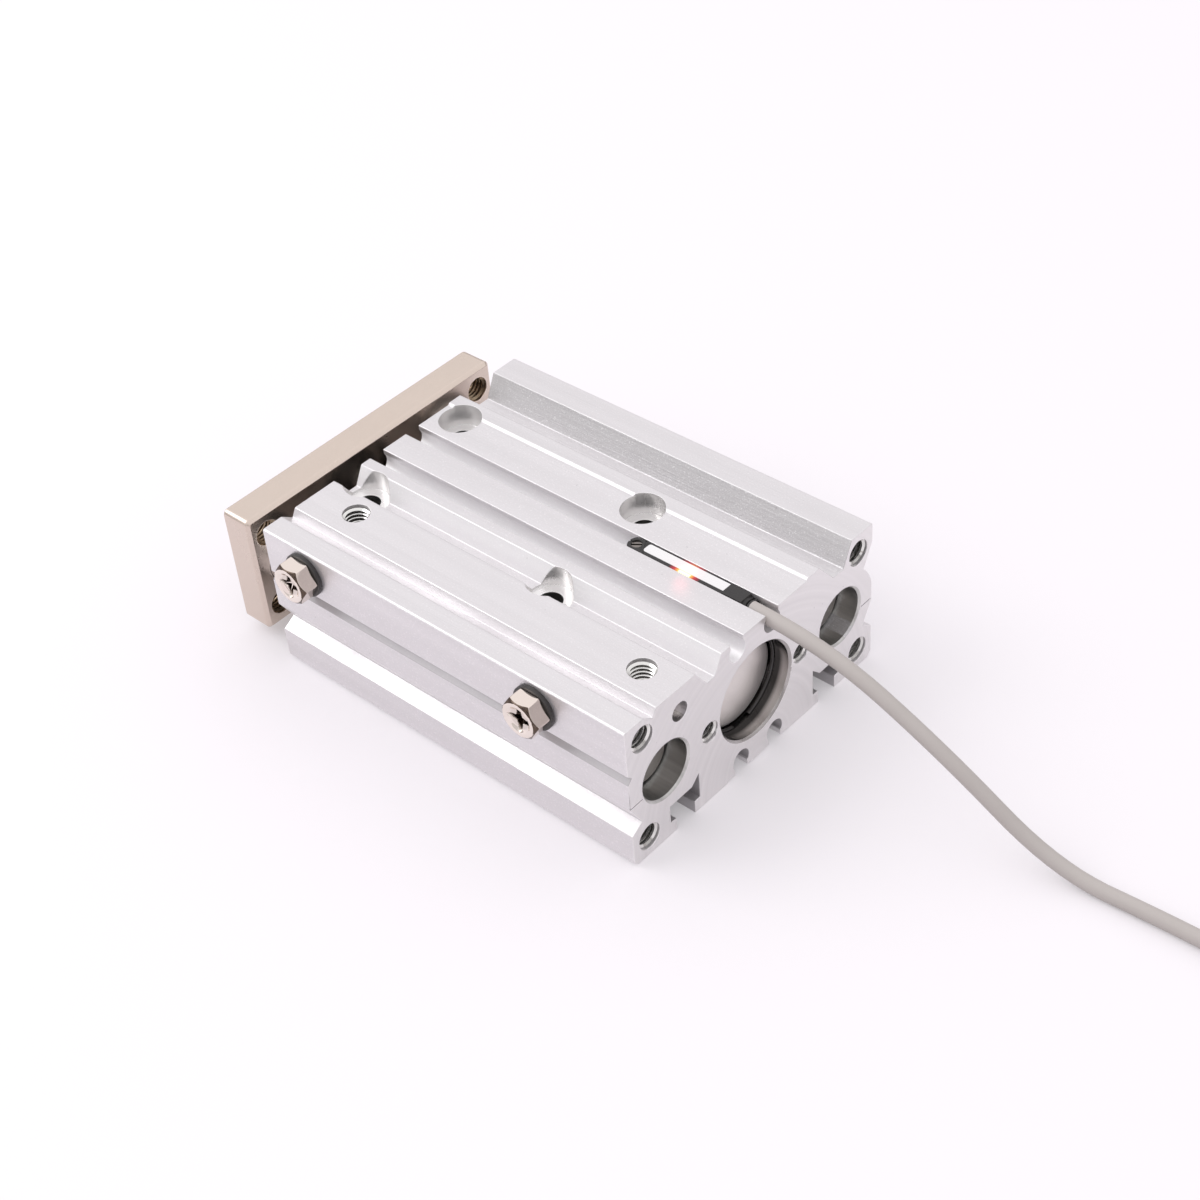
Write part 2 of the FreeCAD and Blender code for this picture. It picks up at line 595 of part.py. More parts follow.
def guide_rod(side):
    rod, end, start = GUIDE_ROD_D / 2, PLATE_0 + ROD_SEAT, BACK + GUIDE_RECESS
    shaft = spin_x([(start, 0), (start, rod - GUIDE_ROD_CHAMFER), (start + GUIDE_ROD_CHAMFER, rod),
                    (end - HOLE_CHAMFER, rod), (end, rod - HOLE_CHAMFER), (end, 0)], side * GUIDE_Y)
    return cut(shaft, [tapped_end(end, GUIDE_BOLT, side * GUIDE_Y)])


def tapped_end(end, bolt, y):
    """Cutter for the tapped hole in a rod's end, a little deeper than its bolt reaches."""
    shank, reach = bolt[0], bolt[3]
    return cyl_x(end - reach - TAP_SPARE, end + OVERCUT, shank, y)


def bolt_seat(bolt):
    """Level of the face under a bolt's head, inside the plate."""
    return PLATE_1 - bolt[2] - BOLT_SINK


def front_plate():
    plate = box((PLATE_0, PLATE_1), (-PLATE_W / 2, PLATE_W / 2),
                (AXIS_Z - PLATE_H / 2, AXIS_Z + PLATE_H / 2))
    corners = [e for e in plate.Edges if abs(e.tangentAt(e.FirstParameter).x) > 0.9]
    plate = plate.makeFillet(PLATE_CORNER_R, corners)
    rims = [e for e in plate.Edges if e.BoundBox.XLength < 0.01]
    plate = plate.makeChamfer(PLATE_CHAMFER, rims)
    tools = []
    for y, rod_d, bolt in ((-GUIDE_Y, GUIDE_ROD_D, GUIDE_BOLT), (0, PISTON_ROD_D, ROD_BOLT),
                           (GUIDE_Y, GUIDE_ROD_D, GUIDE_BOLT)):
        tools.append(cyl_x(PLATE_0 - OVERCUT, PLATE_0 + ROD_SEAT, rod_d + 2 * SLIP_GAP, y))
        tools.append(cyl_x(PLATE_0 - OVERCUT, PLATE_1 + OVERCUT, bolt[0] + 2 * BOLT_HEAD_GAP, y))
        tools.append(cyl_x(bolt_seat(bolt), PLATE_1 + OVERCUT, bolt[1] + 2 * BOLT_HEAD_GAP, y))
    for side_y in MIRROR:
        for side_z in MIRROR:
            y = side_y * (PLATE_W / 2 - PLATE_HOLE_INSET[0])
            z = AXIS_Z + side_z * (PLATE_H / 2 - PLATE_HOLE_INSET[1])
            tools.append(drill(V(PLATE_0, y, z), X_DIR, M5_CORE, PLATE_T + OVERCUT))
            tools.append(drill(V(PLATE_1, y, z), -X_DIR, M5_CORE, PLATE_T + OVERCUT))
    return cut(plate, tools)


def socket_bolt(bolt, y):
    """Low-head socket screw, put in from the front of the plate."""
    shank_d, head_d, head_t, reach, key = bolt
    seat = bolt_seat(bolt)
    tip = PLATE_0 + ROD_SEAT - reach
    shank, head = shank_d / 2 - THREAD_GAP, head_d / 2
    crown = seat + head_t
    screw = spin_x([(tip, 0), (tip, shank), (seat, shank), (seat, head), (crown - BOLT_EDGE, head),
                    (crown, head - BOLT_EDGE), (crown, 0)], y)
    socket = hexagon(V(seat + head_t * SOCKET_FLOOR, y, AXIS_Z), X_DIR, key, head_t)
    return cut(screw, [socket])


def guide_rod_bolts():
    return Part.makeCompound([socket_bolt(GUIDE_BOLT, side * GUIDE_Y) for side in MIRROR])


# ---------------------------------------------------------------- port plugs
def gallery_ball():
    x = BACK + BALL_INSET + GALLERY_BALL_D / 2
    return Part.makeSphere(GALLERY_BALL_D / 2 - SLIP_GAP, V(x, TOP_PORT_Y, SIDE_PORT_Z))


def plug_foot(end):
    return V(SIDE_PORT_X[end], HALF_W, SIDE_PORT_Z)


def plug_washer(end):
    foot = plug_foot(end)
    disc = cyl(foot, Y_DIR, PLUG_WASHER_D, PLUG_WASHER_T)
    hole_d = M5_D + 2 * WASHER_HOLE_GAP
    return disc.cut(cyl(foot - Y_DIR * OVERCUT, Y_DIR, hole_d, PLUG_WASHER_T + 2 * OVERCUT))


def port_plug(end):
    """Hexagon head with rounded corners and a cross recess, on a short threaded shank."""
    foot = plug_foot(end) + Y_DIR * PLUG_WASHER_T
    head = hexagon(foot, Y_DIR, PLUG_AF, PLUG_HEAD_T)
    corner_r, flat_r = PLUG_AF / math.sqrt(3), PLUG_AF / 2
    drop = corner_r - flat_r
    below = drop + PLUG_CROWN_INSET
    crown = Part.makeCone(corner_r + PLUG_HEAD_T, flat_r - PLUG_CROWN_INSET, PLUG_HEAD_T + below,
                          foot - Y_DIR * below, Y_DIR)
    head = head.common(crown)
    shank_l = PLUG_WASHER_T + PLUG_SHANK_L
    shank = cyl(foot, -Y_DIR, M5_CORE - 2 * THREAD_GAP, shank_l)
    floor = foot.y + PLUG_HEAD_T - CROSS_T
    arms = []
    for length, width in ((CROSS_L, CROSS_W), (CROSS_W, CROSS_L)):
        arms.append(box((foot.x - length / 2, foot.x + length / 2), (floor, floor + CROSS_T + OVERCUT),
                        (foot.z - width / 2, foot.z + width / 2)))
    return cut(head.fuse(shank), arms)


# ---------------------------------------------------------------- position switch
def switch_section(x0, x1, top):
    """Round foot in the groove with a narrower neck that reaches up to the mouth."""
    half = SWITCH_NECK_W / 2
    foot = cyl_x(x0, x1, 2 * SWITCH_R, SWITCH_Y, GROOVE_Z)
    neck = box((x0, x1), (SWITCH_Y - half, SWITCH_Y + half), (GROOVE_Z, top))
    return foot.fuse(neck).removeSplitter()


def lamp_box():
    x0 = SWITCH_0 + LAMP_INSET
    edge = SWITCH_Y + SWITCH_NECK_W / 2
    return box((x0, x0 + LAMP_L), (edge - LAMP_W, edge), (SWITCH_TOP - LAMP_T, SWITCH_TOP))


def label_plate():
    """Plain label let into the case, with round corners towards the tip."""
    x0 = SWITCH_0 + LABEL_INSET
    y0 = SWITCH_Y - SWITCH_NECK_W / 2 + LABEL_EDGE
    plate = box((x0, x0 + LABEL_L), (y0, y0 + LABEL_W), (SWITCH_TOP - LABEL_T, SWITCH_TOP))
    corners = [e for e in plate.Edges if e.BoundBox.ZLength > LABEL_T / 2
               and e.CenterOfMass.x > x0 + LABEL_L / 2]
    return plate.makeFillet(LABEL_CORNER_R, corners)


def switch_screw():
    """Slotted set screw: it stands on the groove's floor and lifts the switch against the lips."""
    x = SWITCH_1 - SCREW_INSET
    floor = GROOVE_Z - math.sqrt(SENSOR_R ** 2 - (SCREW_D / 4) ** 2)
    height = SWITCH_TOP - SCREW_SINK - floor
    shaft = cyl(V(x, SWITCH_Y, floor), Z_DIR, SCREW_D, height)
    tip = Part.makeCone(SCREW_D / 4, SCREW_D / 2, SCREW_D / 4, V(x, SWITCH_Y, floor), Z_DIR)
    below = cyl(V(x, SWITCH_Y, floor), Z_DIR, SCREW_D + OVERCUT, SCREW_D / 4)
    slot = box((-SCREW_D, SCREW_D), (-SCREW_SLOT_W / 2, SCREW_SLOT_W / 2),
               (floor + height - SCREW_SLOT_T, floor + height + OVERCUT))
    slot.rotate(V(0, 0, 0), Z_DIR, SCREW_SLOT_DEG)
    slot.translate(V(x, SWITCH_Y, 0))
    return cut(shaft.cut(below).fuse(tip), [slot])


def slanting_bar(inset, top):
    """Bar across the case that centres it between the lips of the groove."""
    x, length = SWITCH_1 - inset, 2 * SENSOR_MOUTH
    bar = box((x - BAR_W / 2, x + BAR_W / 2), (SWITCH_Y - length / 2, SWITCH_Y + length / 2),
              (top - BAR_T, top))
    bar.rotate(V(x, SWITCH_Y, 0), Z_DIR, BAR_DEG)
    half = SENSOR_MOUTH / 2 - SLIP_GAP
    return bar.common(box((SWITCH_0, SWITCH_1), (SWITCH_Y - half, SWITCH_Y + half), (0, BODY_H)))


def switch_body():
    """Moulded case: round nose, two slanting bars, raised rear block and stepped cable end."""
    step = SWITCH_0 + END_L
    label_0 = SWITCH_0 + LABEL_INSET
    nose = cyl(V(SWITCH_1 - SWITCH_R, SWITCH_Y, 0), Z_DIR, 2 * SWITCH_R, BODY_H)
    plan = box((step, SWITCH_1 - SWITCH_R), (SWITCH_Y - SWITCH_R, SWITCH_Y + SWITCH_R), (0, BODY_H))
    case = switch_section(step, SWITCH_1, SWITCH_TOP).common(nose.fuse(plan))
    end = switch_section(SWITCH_0, step, SWITCH_TOP - END_DROP)
    half = SWITCH_NECK_W / 2
    block = box((step, label_0), (SWITCH_Y - half, SWITCH_Y + half),
                (SWITCH_TOP - BAR_T, SWITCH_TOP + BAR_RISE))
    bars = [slanting_bar(inset, SWITCH_TOP + rise) for inset, rise in zip(BAR_INSETS, (BAR_RISE, 0))]
    hole = cyl(V(SWITCH_1 - SCREW_INSET, SWITCH_Y, 0), Z_DIR, SCREW_D, BODY_H + OVERCUT)
    slit = box((SWITCH_1 - SCREW_INSET, SWITCH_1 + OVERCUT),
               (SWITCH_Y - TIP_SLOT_W / 2, SWITCH_Y + TIP_SLOT_W / 2), (0, BODY_H + OVERCUT))
    middle, top = SWITCH_0 + END_L / 2, SWITCH_TOP - END_DROP
    end_slit = box((middle - END_SLIT_W / 2, middle + END_SLIT_W / 2),
                   (SWITCH_Y - half - OVERCUT, SWITCH_Y + half + OVERCUT),
                   (top - END_SLIT_T, top + OVERCUT))
    return cut(case.fuse([end, block] + bars), [hole, slit, end_slit, lamp_box(), label_plate()])


# ---------------------------------------------------------------- cable
def cable_route():
    """Points of the cable, chosen by hand: out of the groove, down to the floor and away."""
    floor = CABLE_D / 2
    y, z = SWITCH_Y + CABLE_SIDE_SHIFT, LAND_Z - CABLE_Z_DROP
    return [V(SWITCH_0, y, z), V(BACK - 10.5, y, z), V(BACK - 33.5, -5.0, 17.3),
            V(BACK - 53.5, -7.7, floor), V(BACK - 72.0, -9.0, floor), V(BACK - 89.5, -9.4, floor),
            V(BACK - 105.0, -9.4, floor)]


def tube_along(points, diameter):
    """Round tube on straight runs joined by tangent arcs, as large as the runs allow."""
    edges, here, length, radii = [], points[0], 0.0, []
    for before, corner, after in zip(points, points[1:], points[2:]):
        run_in, run_out = corner - before, after - corner
        half_turn = run_in.getAngle(run_out) / 2
        trim = ARC_SHARE * min(run_in.Length, run_out.Length)
        radius = trim / math.tan(half_turn)
        toward, away = V(run_in).normalize(), V(run_out).normalize()
        arc_0, arc_1 = corner - toward * trim, corner + away * trim
        inward = V(away - toward).normalize()
        centre = corner + inward * (radius / math.cos(half_turn))
        middle = centre - inward * radius
        edges += [Part.makeLine(here, arc_0), Part.Arc(arc_0, middle, arc_1).toShape()]
        length += (arc_0 - here).Length + 2 * half_turn * radius
        radii.append(radius)
        here = arc_1
    edges.append(Part.makeLine(here, points[-1]))
    length += (points[-1] - here).Length
    section = Part.Wire(Part.makeCircle(diameter / 2, points[0], points[1] - points[0]))
    tube = Part.Wire(edges).makePipeShell([section], True, True)
    expected = math.pi * diameter ** 2 / 4 * length
    print("cable run", round(length, 1), "radii", [round(r, 1) for r in radii],
          "volume ratio", round(tube.Volume / expected, 4))
    return tube


def coil_centre():
    """The cable's last run is tangent to the outer turn."""
    end = cable_route()[-1]
    return V(end.x - STUB_L, end.y - COIL_MID_R - CABLE_D / 2, 0)


def lead_coil():
    """Closed outer shape of the wound cable, with both ends of the cable as short stubs."""
    centre = coil_centre()
    inner, outer = COIL_MID_R - CABLE_D, COIL_MID_R + CABLE_D
    height = COIL_ROWS * CABLE_D
    bevel = CABLE_D / 3
    section = [(inner + bevel, 0), (outer - bevel, 0), (outer, bevel), (outer, height - bevel),
               (outer - bevel, height), (inner + bevel, height), (inner, height - bevel),
               (inner, bevel), (inner + bevel, 0)]
    wire = Part.makePolygon([V(centre.x + r, centre.y, z) for r, z in section])
    ring = Part.Face(wire).revolve(centre, Z_DIR, 360)
    turn_r = COIL_MID_R + CABLE_D / 2
    for side, length in ((1, STUB_L), (-1, FREE_STUB_L)):
        root = V(centre.x, centre.y + side * turn_r, CABLE_D / 2)
        ring = ring.fuse(cyl(root, X_DIR, CABLE_D, length))
    return ring.removeSplitter()


def lead_core(side):
    """One bare core, running on from the cable's free end along the floor."""
    centre = coil_centre()
    free_end = V(centre.x + FREE_STUB_L, centre.y - COIL_MID_R - CABLE_D / 2, CABLE_D / 2)
    start = free_end + V(0, side * CORE_Y, 0)
    spread = math.radians(CORE_SPREAD_DEG)
    fall = (CABLE_D - CORE_D) / 2 - FLOOR_GAP
    run = V(CORE_L * math.cos(spread), side * CORE_L * math.sin(spread), -fall)
    core = cyl(start, run, CORE_D, run.Length)
    behind = box((free_end.x - CORE_L, free_end.x), (free_end.y - CABLE_D, free_end.y + CABLE_D),
                 (-CABLE_D, 2 * CABLE_D))
    return core.cut(behind)


# ---------------------------------------------------------------- all pieces
PIECES = {
    "cylinder_body": cylinder_body,
    "head_cover": head_cover,
    "head_cover_ring": head_cover_ring,
    "head_cover_gasket": lambda: o_ring(CHAMBER_0 - HEAD_COVER_T / 3, HEAD_COVER_D / 2 - SLIP_GAP),
    "rod_collar": rod_collar,
    "rod_collar_ring": rod_collar_ring,
    "rod_collar_gasket": lambda: o_ring(CHAMBER_1 + COLLAR_L / 3, COLLAR_D / 2 - SLIP_GAP),
    "rod_seal": rod_seal,
    "guide_bushings_port_side": lambda: guide_bushings(1),
    "guide_bushings_far_side": lambda: guide_bushings(-1),
    "guide_felts": guide_felts,
    "felt_holders": felt_holders,
    "gallery_ball": gallery_ball,
    "rear_port_plug": lambda: port_plug("rear"),
    "front_port_plug": lambda: port_plug("front"),
    "rear_plug_washer": lambda: plug_washer("rear"),
    "front_plug_washer": lambda: plug_washer("front"),
    "switch_body": switch_body,
    "switch_label": label_plate,
    "switch_lamp": lamp_box,
    "switch_screw": switch_screw,
    "switch_lead": lambda: tube_along(cable_route(), CABLE_D),
    "lead_coil": lead_coil,
    "lead_core_brown": lambda: lead_core(1),
    "lead_core_blue": lambda: lead_core(-1),
    "front_plate": front_plate,
    "piston_rod": piston_rod,
    "piston": piston,
    "piston_magnet": piston_magnet,
    "piston_seal": piston_seal,
    "bumper_head_side": lambda: bumper(PISTON_0 - BUMPER_T, PISTON_SPIGOT_D),
    "bumper_rod_side": lambda: bumper(PISTON_1, PISTON_ROD_D),
    "guide_rod_port_side": lambda: guide_rod(1),
    "guide_rod_far_side": lambda: guide_rod(-1),
    "rod_bolt": lambda: socket_bolt(ROD_BOLT, 0),
    "guide_rod_bolts": guide_rod_bolts,
}


def main():
    os.makedirs(OUT_DIR, exist_ok=True)
    for name, make in PIECES.items():
        shape = make()
        print(name, "solids", len(shape.Solids), "volume", round(shape.Volume, 1),
              "valid", shape.isValid())
        shape.exportStep(f"{OUT_DIR}/{name}.step")


main()
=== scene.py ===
"""Finishes, lead, threads, studio floor, lamps and camera for a guided pneumatic cylinder.

Lengths are metres in the cylinder's own frame: origin on the underside between the four mounting
holes, +X from the back face towards the tool plate, +Y towards the air ports, +Z up.
"""

import logging
import math
from dataclasses import dataclass
from enum import Enum, IntEnum
from typing import Any, Callable, Iterable

import bmesh
import bpy
from mathutils import Matrix, Vector


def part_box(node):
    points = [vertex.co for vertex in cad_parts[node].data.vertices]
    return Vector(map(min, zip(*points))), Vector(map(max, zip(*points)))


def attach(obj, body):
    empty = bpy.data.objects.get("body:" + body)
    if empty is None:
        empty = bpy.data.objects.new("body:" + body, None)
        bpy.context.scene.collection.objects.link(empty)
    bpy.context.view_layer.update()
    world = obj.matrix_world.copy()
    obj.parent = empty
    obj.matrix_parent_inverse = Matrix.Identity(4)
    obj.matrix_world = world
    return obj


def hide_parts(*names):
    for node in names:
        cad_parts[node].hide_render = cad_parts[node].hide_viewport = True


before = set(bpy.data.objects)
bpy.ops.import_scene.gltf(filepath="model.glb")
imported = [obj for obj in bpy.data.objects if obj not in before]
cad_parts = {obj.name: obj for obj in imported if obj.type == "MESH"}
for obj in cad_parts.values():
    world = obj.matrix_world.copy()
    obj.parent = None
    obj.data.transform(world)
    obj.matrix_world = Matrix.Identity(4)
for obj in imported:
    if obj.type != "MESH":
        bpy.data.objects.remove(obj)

LOG = logging.getLogger("cylinder")
MM = 0.001
X_AXIS, Y_AXIS, Z_AXIS = Vector((1, 0, 0)), Vector((0, 1, 0)), Vector((0, 0, 1))
MERGE = 0.001 * MM  # points closer than this are one
NEAR = 0.05 * MM  # a face this close to a plane lies in it
UPRIGHT, SQUARE_ON = 0.3, 0.9  # a normal's share along an axis: nearly none, nearly all
Colour = tuple[float, float, float]
Point = tuple[float, float, float]
Span = tuple[float, float]


# ------------------------------------------------------------------ shader writing
class Graph:
    """Writes nodes and links into one shader tree."""

    def __init__(self, tree: bpy.types.NodeTree) -> None:
        """Starts on an empty tree.

        Args:
            tree: the node tree to write in.
        """
        self.tree = tree
        tree.nodes.clear()

    def add(self, kind: str, settings: dict[str, Any] | None = None, **inputs: Any) -> bpy.types.Node:
        """Adds a node.

        Args:
            kind: the node's type without its ShaderNode prefix.
            settings: the node's own properties.
            inputs: values or sockets by input name, with underscores for spaces; i0, i1 by place.

        Returns:
            The new node.
        """
        node = self.tree.nodes.new("ShaderNode" + kind)
        for key, value in (settings or {}).items():
            setattr(node, key, value)
        for key, value in inputs.items():
            place = int(key[1:]) if key[0] == "i" and key[1:].isdigit() else key.replace("_", " ")
            self.put(node.inputs[place], value)
        return node

    def put(self, socket: bpy.types.NodeSocket, value: Any) -> None:
        """Links a socket, or sets its constant.

        Args:
            socket: the input to feed.
            value: an output socket, a number or a colour.
        """
        if isinstance(value, bpy.types.NodeSocket):
            self.tree.links.new(value, socket)
        elif isinstance(value, tuple) and socket.type == "RGBA":
            socket.default_value = (*value, 1.0)
        else:
            socket.default_value = value

    def math(self, operation: str, first: Any, second: Any = 0.0, clamp: bool = False) -> Any:
        """One Math node's result for two numbers or sockets."""
        node = self.add("Math", {"operation": operation, "use_clamp": clamp}, i0=first, i1=second)
        return node.outputs[0]

    def blend(self, share: Any, first: Any, second: Any) -> Any:
        """Blends two colours.

        Args:
            share: 0 for the first colour, 1 for the second.
            first: a colour or socket.
            second: a colour or socket.

        Returns:
            The blended colour's socket.
        """
        node = self.add("Mix", {"data_type": "RGBA"})
        for place, value in ((0, share), (6, first), (7, second)):
            self.put(node.inputs[place], value)
        return node.outputs[2]

    def between(self, value: Any, low: float, high: float, start: float, end: float) -> Any:
        """Value in low..high mapped to start..end, held at both ends."""
        node = self.add("MapRange", None, i0=value, i1=low, i2=high, i3=start, i4=end)
        return node.outputs[0]

    def noise(self, vector: Any, scale: float, detail: float = 2.0, rough: float = 0.5) -> Any:
        """Soft noise between 0 and 1."""
        node = self.add("TexNoise", None, Vector=vector, Scale=scale, Detail=detail, Roughness=rough)
        return node.outputs[0]

    def scaled(self, vector: Any, scale: Point) -> Any:
        """Vector stretched by the scale."""
        return self.add("Mapping", None, Vector=vector, Scale=scale).outputs[0]

    def place(self) -> Any:
        """The point in the object's own coordinates."""
        return self.add("TexCoord").outputs["Object"]


_effects: dict[str, bpy.types.NodeTree] = {}


def effect(name: str, inputs: dict[str, Any], outputs: Iterable[str],
           fill: Callable[[Graph, bpy.types.Node], dict[str, Any]]) -> bpy.types.NodeTree:
    """Makes a shared shader group once.

    Args:
        name: the group's name.
        inputs: default by input name; a tuple makes a vector input.
        outputs: names of its number outputs.
        fill: writes the nodes and returns the socket for each output.

    Returns:
        The group's tree.
    """
    if name not in _effects:
        tree = bpy.data.node_groups.new(name, "ShaderNodeTree")
        graph = Graph(tree)
        for label, value in inputs.items():
            kind = "NodeSocketVector" if isinstance(value, tuple) else "NodeSocketFloat"
            socket = tree.interface.new_socket(label, in_out="INPUT", socket_type=kind)
            socket.default_value = value
        for label in outputs:
            tree.interface.new_socket(label, in_out="OUTPUT", socket_type="NodeSocketFloat")
        entry = tree.nodes.new("NodeGroupInput")
        results = fill(graph, entry)
        leave = tree.nodes.new("NodeGroupOutput")
        for label, socket in results.items():
            tree.links.new(socket, leave.inputs[label])
        _effects[name] = tree
    return _effects[name]


def blasted_grain() -> bpy.types.NodeTree:
    """Fine even grain, as bead blasting leaves it, with a few brighter specks.

    Returns:
        The group.
    """

    def fill(graph: Graph, entry: bpy.types.Node) -> dict[str, Any]:
        """Writes the grain's nodes.

        Args:
            graph: the group's tree.
            entry: the node with its inputs.

        Returns:
            The socket for each output.
        """
        fine = graph.noise(entry.outputs["Vector"], 3300.0, 3.0, 0.7)
        broad = graph.noise(entry.outputs["Vector"], 900.0, 2.0, 0.5)
        height = graph.math("ADD", graph.math("MULTIPLY", fine, 0.8), graph.math("MULTIPLY", broad, 0.2))
        return {"Height": height, "Speck": graph.between(fine, 0.56, 0.78, 0.0, 1.0)}

    return effect("blasted_grain", {"Vector": (0.0, 0.0, 0.0)}, ("Height", "Speck"), fill)


def drawn_lines() -> bpy.types.NodeTree:
    """Faint long streaks along X, as the drawing die leaves them.

    Returns:
        The group.
    """

    def fill(graph: Graph, entry: bpy.types.Node) -> dict[str, Any]:
        """Writes the streaks' nodes.

        Args:
            graph: the group's tree.
            entry: the node with its inputs.

        Returns:
            The socket for each output.
        """
        point = graph.scaled(entry.outputs["Vector"], (0.02, 1.0, 1.0))
        return {"Height": graph.noise(point, 2400.0, 3.0, 0.6), "Mask": graph.noise(point, 380.0)}

    return effect("drawn_lines", {"Vector": (0.0, 0.0, 0.0)}, ("Height", "Mask"), fill)


def turned_rings() -> bpy.types.NodeTree:
    """Concentric tool marks about the vector's own Z axis.

    Returns:
        The group.
    """

    def fill(graph: Graph, entry: bpy.types.Node) -> dict[str, Any]:
        """Writes the rings' nodes.

        Args:
            graph: the group's tree.
            entry: the node with its inputs.

        Returns:
            The socket for each output.
        """
        flat = graph.scaled(entry.outputs["Vector"], (1.0, 1.0, 0.0))
        radius = graph.add("VectorMath", {"operation": "LENGTH"}, i0=flat).outputs["Value"]
        rings = graph.add("TexNoise", {"noise_dimensions": "1D"}, W=radius, Scale=5200.0, Detail=2.0)
        bands = graph.add("TexNoise", {"noise_dimensions": "1D"}, W=radius, Scale=900.0, Detail=1.0)
        return {"Height": rings.outputs[0], "Mask": bands.outputs[0]}

    return effect("turned_rings", {"Vector": (0.0, 0.0, 0.0)}, ("Height", "Mask"), fill)


def handling_marks() -> bpy.types.NodeTree:
    """Cloudy differences in sheen, and rare small pits.

    Returns:
        The group.
    """

    def fill(graph: Graph, entry: bpy.types.Node) -> dict[str, Any]:
        """Writes the clouds and pits.

        Args:
            graph: the group's tree.
            entry: the node with its inputs.

        Returns:
            The socket for each output.
        """
        cloud = graph.noise(entry.outputs["Vector"], 70.0, 4.0, 0.6)
        pits = graph.noise(entry.outputs["Vector"], 1100.0, 2.0, 0.5)
        return {"Cloud": cloud, "Pits": graph.between(pits, 0.74, 0.80, 0.0, 1.0)}

    return effect("handling_marks", {"Vector": (0.0, 0.0, 0.0)}, ("Cloud", "Pits"), fill)


def polished_edge_highlight() -> bpy.types.NodeTree:
    """Mask that is 1 on the sharp edges, for their polish and for a painted highlight on them.

    Returns:
        The group.
    """

    def fill(graph: Graph, entry: bpy.types.Node) -> dict[str, Any]:
        """Compares the rounded normal with the true one.

        Args:
            graph: the group's tree.
            entry: the node with its inputs.

        Returns:
            The socket for each output.
        """
        rounded = graph.add("Bevel", {"samples": 6}, Radius=entry.outputs["Radius"])
        true = graph.add("NewGeometry").outputs["Normal"]
        dot = graph.add("VectorMath", {"operation": "DOT_PRODUCT"}, i0=rounded.outputs[0], i1=true)
        return {"Mask": graph.between(dot.outputs["Value"], 0.995, 0.90, 0.0, 1.0)}

    return effect("polished_edge_highlight", {"Radius": 0.0002}, ("Mask",), fill)


def use(graph: Graph, tree: bpy.types.NodeTree, **inputs: Any) -> bpy.types.Node:
    """Places a shared group in a material's tree and feeds it.

    Args:
        graph: the material's tree.
        tree: the group.
        inputs: values or sockets by input name.

    Returns:
        The group's node.
    """
    node = graph.tree.nodes.new("ShaderNodeGroup")
    node.node_tree = tree
    for key, value in inputs.items():
        graph.put(node.inputs[key], value)
    return node


class Marks(Enum):
    """What the last tool left on a metal surface."""

    BLASTED = "blasted"
    DRAWN = "drawn"
    TURNED = "turned"
    PLATED = "plated"


class Axis(Enum):
    """An axis of the cylinder's frame, by its letter."""

    X = "X"
    Y = "Y"
    Z = "Z"


def new_material(name: str) -> tuple[bpy.types.Material, Graph, bpy.types.Node]:
    """An empty material with a Principled shader on its output.

    Args:
        name: the material's name.

    Returns:
        The material, its graph and the shader node.
    """
    material = bpy.data.materials.new(name)
    material.use_nodes = True
    graph = Graph(material.node_tree)
    shader = graph.add("BsdfPrincipled")
    graph.add("OutputMaterial", None, Surface=shader.outputs[0])
    return material, graph, shader


_made: dict[str, bpy.types.Material] = {}


@dataclass(frozen=True)
class Finish:
    """A surface finish, made once for all the pieces that have it."""

    name: str

    def write(self) -> bpy.types.Material:
        """Writes the material; each kind of finish has its own way."""
        raise NotImplementedError(self.name)

    def material(self) -> bpy.types.Material:
        """Gives the material, written at its first use.

        Returns:
            The finish's material.
        """
        if self.name not in _made:
            _made[self.name] = self.write()
        return _made[self.name]


